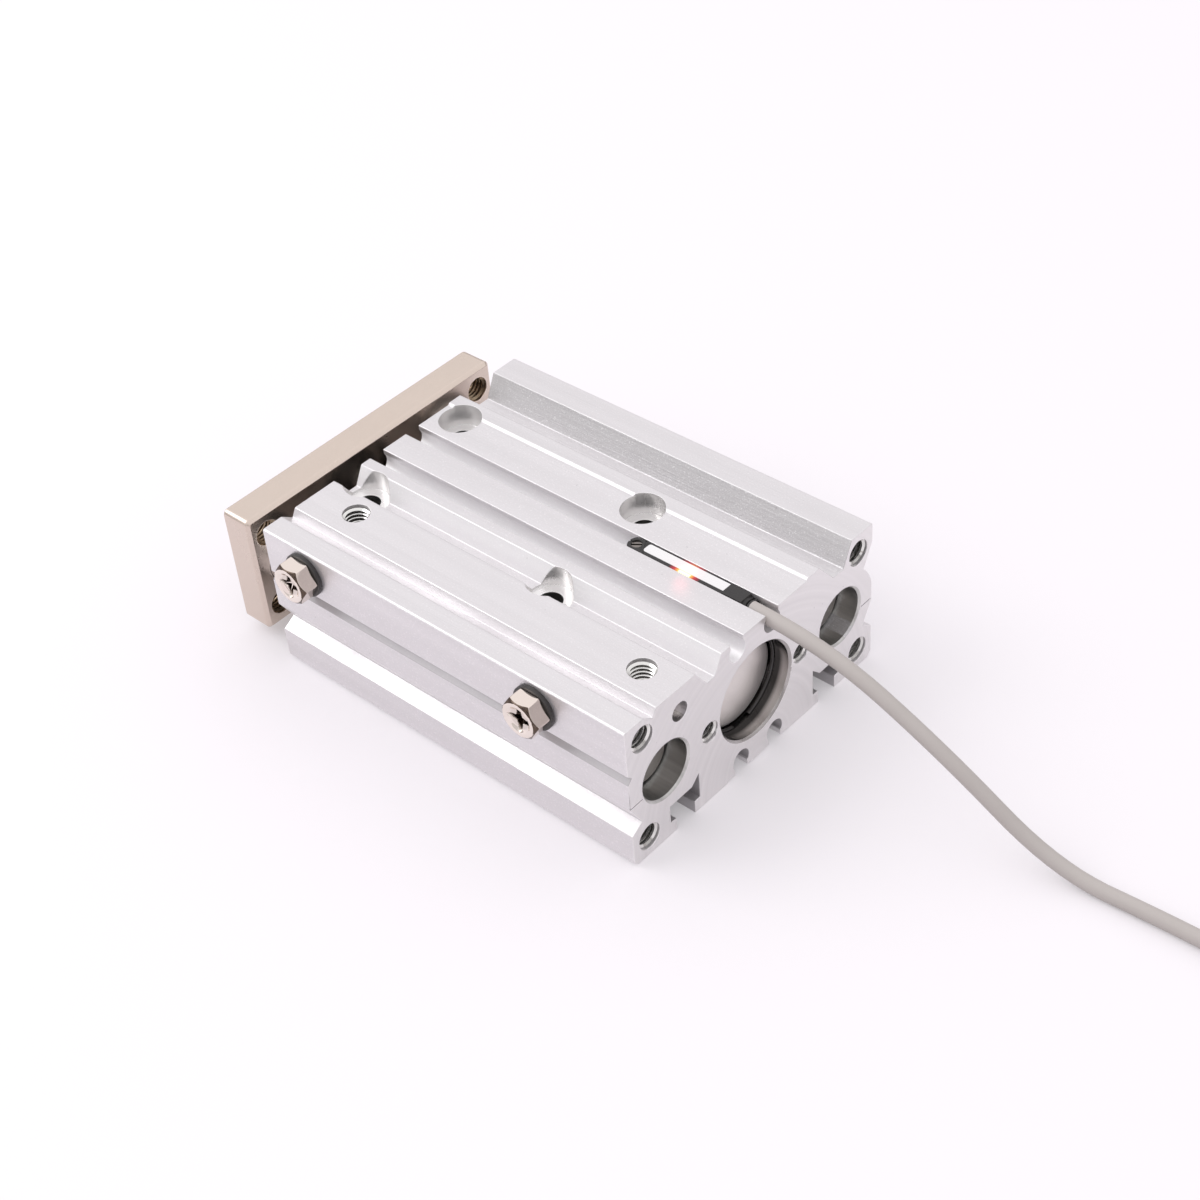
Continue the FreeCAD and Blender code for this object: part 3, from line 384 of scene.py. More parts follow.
@dataclass(frozen=True)
class Metal(Finish):
    """A metal finish: colour, sheen and the marks in it."""

    colour: Colour
    rough: float = 0.35
    marks: Marks = Marks.BLASTED
    metallic: float = 1.0
    depth: float = 0.00001
    speck: float = 0.10
    cloud: float = 0.08
    # edge: share of the brighter edge colour, real polish and a painted highlight; edge_radius: its
    # width
    edge: float = 0.35
    edge_radius: float = 0.0002
    axis: Axis = Axis.X
    centre: Point = (0.0, 0.0, 0.0)
    folded: bool = False
    # painted shade: from start to end along an axis the colour darkens into a hollow, up to a share of
    # the dark colour
    painted_shade: Point | None = None
    painted_shade_axis: Axis = Axis.X
    painted_shade_colour: Colour = (0.02, 0.02, 0.02)

    def along(self, graph: Graph) -> Any:
        """Object coordinates turned so that the marks' axis is Z, about its centre.

        Args:
            graph: the material's tree.

        Returns:
            The turned coordinates; where folded, the four quarters share one centre.
        """
        point = graph.place()
        if self.folded:
            point = graph.add("VectorMath", {"operation": "ABSOLUTE"}, i0=point).outputs[0]
        point = graph.add("VectorMath", {"operation": "SUBTRACT"}, i0=point, i1=self.centre)
        turn = {Axis.X: (0.0, math.pi / 2, 0.0), Axis.Y: (math.pi / 2, 0.0, 0.0),
                Axis.Z: (0.0, 0.0, 0.0)}
        return graph.add("Mapping", None, Vector=point.outputs[0], Rotation=turn[self.axis]).outputs[0]

    def write(self) -> bpy.types.Material:
        """Builds the finish.

        Returns:
            The material.
        """
        material, graph, shader = new_material(self.name)
        point = graph.place()
        grain = use(graph, blasted_grain(), Vector=point)
        wear = use(graph, handling_marks(), Vector=point)
        height, tone = grain.outputs["Height"], grain.outputs["Speck"]
        if self.marks is Marks.DRAWN:
            lines = use(graph, drawn_lines(), Vector=point)
            height = graph.math("ADD", graph.math("MULTIPLY", height, 0.7),
                                graph.math("MULTIPLY", lines.outputs["Height"], 0.6))
            tone = graph.math("ADD", graph.math("MULTIPLY", tone, 0.7),
                              graph.math("MULTIPLY", lines.outputs["Mask"], 0.4))
        elif self.marks is Marks.TURNED:
            rings = use(graph, turned_rings(), Vector=self.along(graph))
            height = graph.math("ADD", graph.math("MULTIPLY", height, 0.3),
                                rings.outputs["Height"])
            tone = rings.outputs["Mask"]
        elif self.marks is Marks.PLATED:
            height = graph.math("MULTIPLY", height, 0.4)
        pale = tuple(min(1.0, c * (1 + self.speck)) for c in self.colour)
        dull = tuple(c * (1 - self.speck) for c in self.colour)
        colour = graph.blend(tone, dull, pale)
        # sharp edges get a brighter colour and less roughness: real polish, and a painted highlight
        rim = use(graph, polished_edge_highlight(), Radius=self.edge_radius).outputs["Mask"]
        rim = graph.math("MULTIPLY", rim, self.edge)
        highlight_colour = tuple(min(1.0, c * 1.2 + 0.06) for c in self.colour)
        colour = graph.blend(rim, colour, highlight_colour)
        pitted = tuple(c * 0.45 for c in self.colour)
        colour = graph.blend(graph.math("MULTIPLY", wear.outputs["Pits"], 0.4), colour, pitted)
        # painted shade: darker deeper into the bore or recess
        if self.painted_shade:
            start, end, share = self.painted_shade
            across = graph.add("SeparateXYZ", None, Vector=point).outputs[self.painted_shade_axis.value]
            colour = graph.blend(graph.between(across, start, end, 0.0, share), colour, self.painted_shade_colour)
        graph.put(shader.inputs["Base Color"], colour)
        rough = graph.between(wear.outputs["Cloud"], 0.3, 0.7, self.rough - self.cloud,
                              self.rough + self.cloud)
        rough = graph.math("SUBTRACT", rough, graph.math("MULTIPLY", rim, 0.12), clamp=True)
        graph.put(shader.inputs["Roughness"], rough)
        shader.inputs["Metallic"].default_value = self.metallic
        bump = graph.add("Bump", None, Strength=1.0, Distance=self.depth, Height=height)
        graph.put(shader.inputs["Normal"], bump.outputs[0])
        return material


@dataclass(frozen=True)
class Glow:
    """Emission round the switch's lit lamp: its own light on the lamp, painted glow on the case and
    label.
    """

    centre: Point
    half: float
    core: Colour = (1.0, 0.93, 0.42)
    middle: Colour = (1.0, 0.42, 0.06)
    rim: Colour = (0.62, 0.015, 0.03)
    strength: float = 1.0
    reach: Point = (1.0, 0.75, 0.3)
    core_fade: Span = (0.38, 0.60)
    middle_fade: Span = (0.58, 0.80)
    rim_fade: Span = (0.80, 1.25)

    def light(self, graph: Graph, shader: bpy.types.Node) -> None:
        """Feeds the shader's emission, brightest at the lamp.

        Args:
            graph: the material's tree.
            shader: its Principled shader.
        """
        point = graph.add("VectorMath", {"operation": "SUBTRACT"}, i0=graph.place(), i1=self.centre)
        flat = graph.scaled(point.outputs[0], self.reach)
        away = graph.add("VectorMath", {"operation": "LENGTH"}, i0=flat).outputs["Value"]
        near, mid, far = (graph.between(away, start * self.half, end * self.half, 1.0, 0.0)
                          for start, end in (self.core_fade, self.middle_fade, self.rim_fade))
        colour = graph.blend(far, (0.0, 0.0, 0.0), self.rim)
        colour = graph.blend(mid, colour, self.middle)
        graph.put(shader.inputs["Emission Color"], graph.blend(near, colour, self.core))
        shader.inputs["Emission Strength"].default_value = self.strength


@dataclass(frozen=True)
class Moulding(Finish):
    """Plastic, rubber or felt: a colour that is slightly uneven, a fine texture and a sheen."""

    colour: Colour
    rough: float = 0.5
    uneven: float = 0.15
    grain: float = 4000.0
    depth: float = 0.00002
    specular: float = 0.5
    glow: Glow | None = None
    bare_from: float | None = None
    bare: Colour = (0.66, 0.62, 0.57)

    def write(self) -> bpy.types.Material:
        """Builds the finish; past the place on X where it is stripped it is tinned wire.

        Returns:
            The material.
        """
        material, graph, shader = new_material(self.name)
        point = graph.place()
        fine = graph.noise(point, self.grain, 3.0, 0.6)
        cloud = graph.noise(point, self.grain / 18, 3.0, 0.6)
        dark = tuple(c * (1 - self.uneven) for c in self.colour)
        light = tuple(min(1.0, c * (1 + self.uneven)) for c in self.colour)
        colour = graph.blend(cloud, dark, light)
        if self.bare_from is not None:
            along = graph.add("SeparateXYZ", None, Vector=point).outputs["X"]
            wire = graph.math("GREATER_THAN", along, self.bare_from)
            colour = graph.blend(wire, colour, self.bare)
            graph.put(shader.inputs["Metallic"], wire)
        graph.put(shader.inputs["Base Color"], colour)
        rough = graph.between(fine, 0.3, 0.7, self.rough - 0.06, self.rough + 0.08)
        graph.put(shader.inputs["Roughness"], rough)
        shader.inputs["Specular IOR Level"].default_value = self.specular
        # emission round the lamp; on pieces other than the lamp itself it is a painted glow
        if self.glow:
            self.glow.light(graph, shader)
        bump = graph.add("Bump", None, Strength=1.0, Distance=self.depth, Height=fine)
        graph.put(shader.inputs["Normal"], bump.outputs[0])
        return material


# painted shade: the centre bore's wall darkens with depth past the back face
BORE_PAINTED_SHADE = (-54.6 * MM, -53.7 * MM, 0.93)
LAMP_PLACE = (-38.5 * MM, -3.45 * MM, 29.35 * MM)
BARE_LENGTH = 4.0 * MM

BODY_ANODISED = Metal("body_anodised", (0.81, 0.785, 0.80), 0.38, Marks.DRAWN, 0.80, 0.000065, 0.17,
                      edge=0.9, edge_radius=0.00022)
BODY_MILLED = Metal("body_milled", (0.785, 0.765, 0.768), 0.36, Marks.TURNED, 1.0, 0.000006, 0.05,
                    edge=0.9, edge_radius=0.00018)
# darker copy of the anodised finish: painted shade on the mark's slope and in the slots and grooves
# underneath
BODY_PAINTED_SHADE = Metal("body_painted_shade", (0.52, 0.50, 0.515), 0.5, Marks.DRAWN, 0.8, 0.00003, 0.12)
# coarser grain on the far rib's inner wall, and a darker colour there as painted shade
BODY_COARSE_SHADED = Metal("body_coarse_painted_shade", (0.76, 0.742, 0.75), 0.45, Marks.DRAWN, 0.8, 0.00010, 0.36)
# lighter, more diffuse copy of the anodised finish: painted light in the top grooves and on the valley's
# upward wall
BODY_GROOVE_LIT = Metal("body_groove_painted_light", (0.93, 0.91, 0.925), 0.5, Marks.DRAWN, 0.5, 0.00004, 0.12)
GUIDE_BORED = Metal("guide_bored", (0.57, 0.565, 0.55), 0.32, Marks.TURNED, 1.0, 0.000012, 0.25,
                    centre=(0.0, 0.0, 0.015), edge=0.7)
CENTRE_BORED = Metal("centre_bored", (0.46, 0.44, 0.43), 0.24, Marks.TURNED, 1.0, 0.000012, 0.28,
                     centre=(0.0, 0.0, 0.015), edge=0.7, painted_shade=BORE_PAINTED_SHADE)
COUNTERBORED = Metal("counterbored", (0.84, 0.825, 0.82), 0.30, Marks.TURNED, 0.72, 0.000010, 0.14,
                     axis=Axis.Z, centre=(0.022, 0.012, 0.0), folded=True, edge=0.9)
COVER_TURNED = Metal("cover_turned", (0.92, 0.87, 0.845), 0.34, Marks.TURNED, 0.85, 0.000001, 0.04,
                     centre=(0.0, 0.0, 0.015))
THREAD_CUT = Metal("thread_cut", (0.78, 0.775, 0.75), 0.18, Marks.PLATED, 1.0, 0.000004, 0.05)
PLATE_NICKEL = Metal("plate_nickel", (0.69, 0.59, 0.52), 0.25, Marks.PLATED, 1.0, 0.000014, 0.06,
                     edge=0.8, edge_radius=0.0004)
PLATE_THREAD = Metal("plate_thread", (0.46, 0.36, 0.25), 0.26, Marks.PLATED, 1.0, 0.000006, 0.2)
PLUG_NICKEL = Metal("plug_nickel", (0.80, 0.71, 0.65), 0.07, Marks.PLATED, 1.0, 0.000003, 0.04,
                    cloud=0.03)
PLUG_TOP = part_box("rear_port_plug")[1].y
# painted shade: the crown darkens from 0.4 to 1 mm under its top, in the dish and cross recess
PLUG_CROWN = Metal("plug_crown", (0.84, 0.76, 0.70), 0.07, Marks.PLATED, 1.0, 0.000003, 0.04,
                   cloud=0.03, painted_shade=(PLUG_TOP - 0.40 * MM, PLUG_TOP - 1.0 * MM, 0.97),
                   painted_shade_axis=Axis.Y, painted_shade_colour=(0.035, 0.02, 0.013))
# near-black finish on the plated chamfer round the crown: a painted dark band of shade
PLUG_CHAMFER_SHADE = Metal("plug_chamfer_painted_shade", (0.13, 0.095, 0.075), 0.22, Marks.PLATED, 1.0, 0.000010, 0.2)
ROD_CHROME = Metal("rod_chrome", (0.66, 0.66, 0.66), 0.10, Marks.PLATED, 1.0, 0.000001, 0.03,
                   cloud=0.03)
ROD_END = Metal("rod_end", (0.30, 0.28, 0.265), 0.36, Marks.TURNED, 1.0, 0.000008, 0.15,
                centre=(0.0, 0.023, 0.015), folded=True)
RING_STEEL = Metal("ring_steel", (0.075, 0.072, 0.071), 0.30, Marks.PLATED, 1.0, 0.00001, 0.1,
                   edge=0.15)
BOLT_STEEL = Metal("bolt_steel", (0.55, 0.52, 0.48), 0.25, Marks.PLATED, 1.0, 0.000005, 0.05)
SCREW_BLACK = Metal("screw_black", (0.30, 0.27, 0.255), 0.20, Marks.PLATED, 1.0, 0.00001, 0.2)
BALL_STEEL = Metal("ball_steel", (0.80, 0.76, 0.74), 0.06, Marks.PLATED, 1.0, 0.000001, 0.03,
                   cloud=0.03)
BRONZE = Metal("bronze", (0.52, 0.37, 0.20), 0.4, Marks.TURNED, 1.0, 0.00001, 0.12)
MAGNET = Metal("magnet", (0.09, 0.09, 0.10), 0.5, Marks.BLASTED, 0.6, 0.00002, 0.2)
NITRILE = Moulding("nitrile", (0.012, 0.012, 0.013), 0.5)
FELT = Moulding("felt", (0.72, 0.68, 0.60), 0.95, 0.2, 2500.0, 0.0002, 0.1)
WASHER = Moulding("washer", (0.035, 0.032, 0.031), 0.42)
# the black case emits a painted glow round the lamp
SWITCH_CASE = Moulding("switch_case", (0.020, 0.018, 0.018), 0.36, 0.3, 5200.0, 0.00004,
                       glow=Glow(LAMP_PLACE, 2.6 * MM))
SWITCH_LAMP = Moulding("switch_lamp", (0.85, 0.55, 0.30), 0.25, 0.05, 5200.0, 0.000004,
                       glow=Glow(LAMP_PLACE, 2.9 * MM, strength=1.6))
# the label emits a painted glow round the lamp
LABEL_PLATE = Moulding("label_plate", (0.80, 0.79, 0.795), 0.28, 0.02, 3000.0, 0.000002,
                       glow=Glow(LAMP_PLACE, 2.8 * MM, (0.34, 0.27, 0.06), (0.18, 0.08, 0.03),
                                 (0.07, 0.01, 0.01)))
JACKET = Moulding("jacket", (0.475, 0.438, 0.418), 0.46, 0.05, 3200.0, 0.00001, 0.45)
TIE_BLACK = Moulding("tie_black", (0.016, 0.016, 0.017), 0.45)
CORE_BARE_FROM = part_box("lead_core_brown")[1].x - BARE_LENGTH
CORE_BROWN = Moulding("core_brown", (0.16, 0.060, 0.025), 0.42, bare_from=CORE_BARE_FROM)
CORE_BLUE = Moulding("core_blue", (0.03, 0.10, 0.36), 0.42, bare_from=CORE_BARE_FROM)
URETHANE = Moulding("urethane", (0.16, 0.12, 0.05), 0.45)


# ------------------------------------------------------------------ mesh helpers
def new_piece(name: str, bm: bmesh.types.BMesh, body: str,
              finishes: Iterable[bpy.types.Material], smooth_deg: float = 32.0) -> bpy.types.Object:
    """Turns a bmesh into a named piece that rides on a body.

    Args:
        name: the piece's name.
        bm: its shape, in the cylinder's frame; it is freed.
        body: the body that carries it.
        finishes: its materials, by material index.
        smooth_deg: edges flatter than this are shaded smooth.

    Returns:
        The new object.
    """
    mesh = bpy.data.meshes.new(name)
    bm.to_mesh(mesh)
    bm.free()
    for face in mesh.polygons:
        face.use_smooth = True
    mesh.set_sharp_from_angle(angle=math.radians(smooth_deg))
    for finish in finishes:
        mesh.materials.append(finish)
    piece = bpy.data.objects.new(name, mesh)
    bpy.context.scene.collection.objects.link(piece)
    shading = piece.modifiers.new("even_shading", "WEIGHTED_NORMAL")
    shading.keep_sharp = True
    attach(piece, body)
    LOG.info("%s: %d faces on %s", name, len(mesh.polygons), body)
    return piece


def merged_node(node: str, whole: bool = True) -> bmesh.types.BMesh:
    """A CAD node's mesh with its triangles joined.

    Args:
        node: the node's name.
        whole: makes the flat faces whole too.

    Returns:
        The joined shape.
    """
    bm = bmesh.new()
    bm.from_mesh(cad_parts[node].data)
    bmesh.ops.remove_doubles(bm, verts=bm.verts, dist=MERGE)
    if whole:
        bmesh.ops.dissolve_limit(bm, angle_limit=math.radians(0.4), use_dissolve_boundaries=False,
                                 verts=bm.verts, edges=bm.edges, delimit={"NORMAL"})
    return bm


def round_edges(bm: bmesh.types.BMesh, width: float, segments: int = 2, sharp_deg: float = 28.0,
                keep: Callable[[bmesh.types.BMEdge], bool] | None = None) -> None:
    """Breaks the sharp edges of a shape.

    Args:
        bm: the shape.
        width: distance of the break from the edge.
        segments: number of strips in it.
        sharp_deg: smallest angle that counts as sharp.
        keep: says which sharp edges are broken; all where it is left out.
    """
    limit = math.radians(sharp_deg)
    chosen = [edge for edge in bm.edges
              if len(edge.link_faces) == 2 and edge.calc_face_angle(0.0) > limit
              and (keep is None or keep(edge))]
    bmesh.ops.bevel(bm, geom=chosen, offset=width, offset_type="OFFSET", segments=segments,
                    profile=0.5, affect="EDGES", clamp_overlap=False, material=-1,
                    loop_slide=True)


# ------------------------------------------------------------------ threads
@dataclass
class Thread:
    """The turns of one tapped hole, as a ridge that winds down its wall."""

    name: str
    mouth: Vector
    inward: Vector
    major: float
    pitch: float
    depth: float
    body: str = "barrel"
    slot: str = "body_aluminium"
    finish: Metal = THREAD_CUT
    height_share: float = 0.54
    ramp: Span = (0.36, 0.50)
    root_share: float = 0.86
    steps: int = 36
    bite: float = 0.03 * MM
    runout: float = 1.6 * MM
    above: float = 0.02 * MM
    centre_r: float = 0.5 * MM

    @property
    def minor(self) -> float:
        """Radius of the crests."""
        return self.major - self.height_share * self.pitch

    def open_out(self, bm: bmesh.types.BMesh) -> None:
        """Widens the hole's plain wall in a mesh to the thread's roots.

        Args:
            bm: the mesh that holds the hole.
        """
        for vert in bm.verts:
            arm = vert.co - self.mouth
            down = arm.dot(self.inward)
            side = arm - self.inward * down
            deep = -self.above < down < self.depth + self.runout
            if deep and self.centre_r < side.length < self.major:
                vert.co += side.normalized() * (self.major - side.length)

    def build(self) -> bpy.types.Object:
        """Winds the ridge.

        Returns:
            The thread's object.
        """
        bm = bmesh.new()
        out = self.inward.orthogonal().normalized()
        root, crest, pitch = self.major + self.bite, self.minor, self.pitch
        section = ((root, 0.0), (crest, self.ramp[0]), (crest, self.ramp[1]),
                   (root, self.root_share))
        start = self.mouth + self.inward * (0.25 * pitch)
        verts = [bm.verts.new(start + out * r + self.inward * (share * pitch))
                 for r, share in section]
        face = bm.faces.new(verts)
        turns = int(self.depth / pitch) - 1
        bmesh.ops.spin(bm, geom=[face, *face.verts, *face.edges], cent=self.mouth,
                       axis=self.inward, dvec=self.inward * (pitch / self.steps),
                       angle=math.tau * turns, steps=self.steps * turns, use_merge=False,
                       use_duplicate=False)
        bmesh.ops.remove_doubles(bm, verts=bm.verts, dist=MERGE / 2)
        bmesh.ops.recalc_face_normals(bm, faces=bm.faces)
        return new_piece(self.name, bm, self.body, [self.finish.material()], 50.0)


# ------------------------------------------------------------------ lead
@dataclass
class Lead:
    """The switch's lead: out of its groove, down to the floor, then wound and tied."""

    diameter: float = 2.7 * MM
    length: float = 0.5
    route: tuple[Point, ...] = (
        (-0.052, -0.00435, 0.02805), (-0.0665, -0.00435, 0.02805), (-0.0895, -0.005, 0.0173),
        (-0.1095, -0.0077, 0.00135), (-0.128, -0.009, 0.00135), (-0.1455, -0.0094, 0.00135),
        (-0.161, -0.0094, 0.00135))
    coil_radius: float = 16.2 * MM
    entry: float = 11.0 * MM
    tail: float = 16.5 * MM
    steps: int = 16
    tie_width: float = 2.6 * MM
    tie_thick: float = 0.6 * MM
    tie_head: float = 4.0 * MM

    def coil_centre(self) -> Vector:
        """Middle of the coil, on the floor."""
        end = self.route[-1]
        return Vector((end[0] - self.entry, end[1] - self.coil_radius - self.diameter / 2, 0.0))

    def coil_points(self) -> list[Vector]:
        """Outer turn and inner turn on the floor, inner turn and half an outer turn on them.

        Returns:
            The points of the three and a half turns.
        """
        centre, half = self.coil_centre(), self.diameter / 2
        outer, inner = self.coil_radius + half, self.coil_radius - half
        low, high = half, self.diameter + half
        stages = ((outer, low, self.steps), (inner, low, self.steps), (inner, high, self.steps),
                  (outer, high, self.steps // 2))
        places = [(radius, level) for radius, level, count in stages for _ in range(count)]
        places.append(places[-1])
        points = []
        for k, _ in enumerate(places):
            near = places[max(0, k - 1):k + 2]
            radius = sum(r for r, _ in near) / len(near)
            level = sum(z for _, z in near) / len(near)
            angle = math.pi / 2 + math.tau * k / self.steps
            points.append(centre + Vector((radius * math.cos(angle), radius * math.sin(angle), level)))
        return points

    def tail_points(self) -> list[Vector]:
        """Off the coil and down to the floor.

        Returns:
            The points of the tail.
        """
        centre, half = self.coil_centre(), self.diameter / 2
        y = centre.y - self.coil_radius - half
        steps = ((0.22, self.diameter + half), (0.5, 1.75 * half), (0.78, half), (1.0, half))
        return [Vector((centre.x + share * self.tail, y, level)) for share, level in steps]

    def tie(self) -> bpy.types.Object:
        """Binds the coil where it faces the cylinder: a strap round its three turns, and its head.

        Returns:
            The tie.
        """
        half = self.diameter / 2
        middle = self.coil_centre() + X_AXIS * self.coil_radius
        corners = (((half, half), -90, 45), ((-half, 3 * half), 45, 180), ((-half, half), 180, 270))
        bm = bmesh.new()
        loops = []
        for radius, floor in ((half, 0.4 * MM), (half + self.tie_thick, 0.02 * MM)):
            ring = []
            for (across, up), start, end in corners:
                for share in (0.0, 0.25, 0.5, 0.75, 1.0):
                    turn = math.radians(start + share * (end - start))
                    ring.append(bm.verts.new((middle.x + across + radius * math.cos(turn),
                                              middle.y - self.tie_width / 2,
                                              max(floor, up + radius * math.sin(turn)))))
            loops += [bm.edges.new(pair) for pair in zip(ring, ring[1:] + ring[:1])]
        side = bmesh.ops.bridge_loops(bm, edges=loops)["faces"]
        swept = bmesh.ops.extrude_face_region(bm, geom=side)["geom"]
        bmesh.ops.translate(bm, vec=Y_AXIS * self.tie_width,
                            verts=[part for part in swept if isinstance(part, bmesh.types.BMVert)])
        slope = half + self.tie_thick + 0.3 * self.tie_head
        place = middle + Vector((slope * math.sqrt(0.5), 0.0, 2 * half + slope * math.sqrt(0.5)))
        size = Matrix.Diagonal((self.tie_head, 1.15 * self.tie_head, 0.62 * self.tie_head, 1.0))
        lean = Matrix.Rotation(math.radians(45), 4, "Y")
        bmesh.ops.create_cube(bm, size=1.0, matrix=Matrix.Translation(place) @ lean @ size)
        bmesh.ops.recalc_face_normals(bm, faces=bm.faces)
        round_edges(bm, 0.12 * MM)
        return new_piece("lead_tie", bm, "barrel", [TIE_BLACK.material()])

    def build(self) -> bpy.types.Object:
        """Makes the lead as one spline.

        Returns:
            The lead's curve.
        """
        points = [Vector(p) for p in self.route] + self.coil_points() + self.tail_points()
        curve = bpy.data.curves.new("lead", "CURVE")
        curve.dimensions = "3D"
        spline = curve.splines.new("NURBS")
        spline.points.add(len(points) - 1)
        for point, place in zip(spline.points, points):
            point.co = (*place, 1.0)
        spline.order_u = 3
        spline.use_endpoint_u = True
        curve.resolution_u = 8
        curve.bevel_depth = self.diameter / 2
        curve.bevel_resolution = 6
        curve.use_fill_caps = True
        curve.materials.append(JACKET.material())
        lead = bpy.data.objects.new("lead", curve)
        bpy.context.scene.collection.objects.link(lead)
        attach(lead, "barrel")
        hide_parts("switch_lead", "lead_coil")
        LOG.info("lead: %d points", len(points))
        return lead


# ------------------------------------------------------------------ studio
@dataclass
class Studio:
    """Pale floor, soft lamps and the camera."""

    camera_place: Point = (-0.2192, 0.19846, 0.25853)
    camera_aim: Point = (-0.00774, -0.01399, 0.0)
    camera_roll_deg: float = -5.163
    lens_mm: float = 64.23
    floor_size: float = 6.0
    floor_colour: Colour = (0.66, 0.628, 0.66)
    floor_shown: Colour = (0.25, 0.25, 0.25)
    sky_edge: Colour = (0.34, 0.32, 0.32)
    sky_front: Colour = (0.72, 0.70, 0.70)
    sky_low: Colour = (0.74, 0.72, 0.73)
    sky_high: Colour = (1.10, 1.085, 1.10)
    key_place: Point = (0.47, 0.34, 0.61)
    key_size: float = 0.50
    key_power: float = 1.7
    spill_place: Point = (-38.4 * MM, -2.4 * MM, 31.8 * MM)
    spill_colour: Colour = (1.0, 0.16, 0.20)
    spill_size: float = 1.5 * MM
    spill_power: float = 0.00004

    def camera(self) -> None:
        """Stands the camera at the viewing place."""
        data = bpy.data.cameras.new("camera")
        data.lens = self.lens_mm
        data.sensor_width = 36.0
        data.clip_start, data.clip_end = 0.01, 20.0
        camera = bpy.data.objects.new("camera", data)
        bpy.context.scene.collection.objects.link(camera)
        look = Vector(self.camera_aim) - Vector(self.camera_place)
        turn = look.to_track_quat("-Z", "Y").to_matrix() @ Matrix.Rotation(
            math.radians(self.camera_roll_deg), 3, "Z")
        camera.matrix_world = Matrix.Translation(self.camera_place) @ turn.to_4x4()
        bpy.context.scene.camera = camera

    def floor(self) -> None:
        """Lays the floor, which shows pale and keeps the soft shadow."""
        bm = bmesh.new()
        bmesh.ops.create_grid(bm, x_segments=1, y_segments=1, size=self.floor_size / 2)
        mesh = bpy.data.meshes.new("floor")
        bm.to_mesh(mesh)
        bm.free()
        floor = bpy.data.objects.new("floor", mesh)
        bpy.context.scene.collection.objects.link(floor)
        material = bpy.data.materials.new("floor")
        material.use_nodes = True
        graph = Graph(material.node_tree)
        matte = graph.add("BsdfDiffuse", None, Color=self.floor_colour)
        rays = graph.add("LightPath").outputs
        seen = graph.math("ADD", rays["Is Camera Ray"], rays["Is Glossy Ray"], clamp=True)
        seen = graph.math("ADD", seen, rays["Is Transmission Ray"], clamp=True)
        shown = graph.add("Emission", None, Color=self.floor_shown, Strength=seen)
        both = graph.add("AddShader", None, i0=matte.outputs[0], i1=shown.outputs[0])
        graph.add("OutputMaterial", None, Surface=both.outputs[0])
        mesh.materials.append(material)

    def sky(self) -> None:
        """Even studio light, dark at the horizon except on the ports' side."""
        world = bpy.data.worlds.new("studio")
        bpy.context.scene.world = world
        world.use_nodes = True
        graph = Graph(world.node_tree)
        ray = graph.add("TexCoord").outputs["Generated"]
        split = graph.add("SeparateXYZ", None, Vector=ray).outputs
        edge = graph.blend(graph.between(split["Y"], 0.45, 0.80, 0.0, 1.0), self.sky_edge,
                           self.sky_front)
        colour = graph.blend(graph.between(split["Z"], 0.03, 0.22, 0.0, 1.0), edge, self.sky_low)
        colour = graph.blend(graph.between(split["Z"], 0.22, 0.55, 0.0, 1.0), colour, self.sky_high)
        light = graph.add("Background", None, Color=colour, Strength=1.0)
        graph.add("OutputWorld", None, Surface=light.outputs[0])

    def hang(self, data: bpy.types.Light, place: Point) -> None:
        """Hangs a lamp that faces the cylinder.

        Args:
            data: the lamp.
            place: where it hangs.
        """
        lamp = bpy.data.objects.new(data.name, data)
        bpy.context.scene.collection.objects.link(lamp)
        turn = (-Vector(place)).to_track_quat("-Z", "Y").to_matrix().to_4x4()
        lamp.matrix_world = Matrix.Translation(place) @ turn

    def key(self) -> None:
        """The square soft box on the left."""
        data = bpy.data.lights.new("key_left", "AREA")
        data.shape = "SQUARE"
        data.size = self.key_size
        data.energy = self.key_power
        self.hang(data, self.key_place)

    def spill(self) -> None:
        """The light that the switch's own lamp throws on the metal beside it."""
        data = bpy.data.lights.new("lamp_spill", "POINT")
        data.color = self.spill_colour
        data.energy = self.spill_power
        data.shadow_soft_size = self.spill_size
        self.hang(data, self.spill_place)

    def build(self) -> None:
        """Sets the whole studio up."""
        self.camera()
        self.floor()
        self.sky()
        self.key()
        self.spill()
        bpy.context.scene.view_settings.view_transform = "Standard"


# ------------------------------------------------------------------ sub-assemblies
BODY_LOW, BODY_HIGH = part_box("cylinder_body")
BACK, FRONT = BODY_LOW.x, BODY_HIGH.x
TOP, HALF_WIDTH = BODY_HIGH.z, BODY_HIGH.y
AXIS_Z = TOP / 2
PLATE_LOW, PLATE_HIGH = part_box("front_plate")


class BodyFace(IntEnum):
    """The kinds of surface on the body, in the order of its materials."""

    DRAWN = 0
    MILLED = 1
    GUIDE_BORE = 2
    AIR_BORE = 3
    COUNTERBORE = 4
    PAINTED_SHADE = 5
    GROOVE_LIT = 6
    COARSE = 7


BODY_FINISHES: dict[BodyFace, Metal] = {
    BodyFace.DRAWN: BODY_ANODISED, BodyFace.MILLED: BODY_MILLED, BodyFace.GUIDE_BORE: GUIDE_BORED,
    BodyFace.AIR_BORE: CENTRE_BORED, BodyFace.COUNTERBORE: COUNTERBORED, BodyFace.PAINTED_SHADE: BODY_PAINTED_SHADE,
    BodyFace.GROOVE_LIT: BODY_GROOVE_LIT, BodyFace.COARSE: BODY_COARSE_SHADED,
}


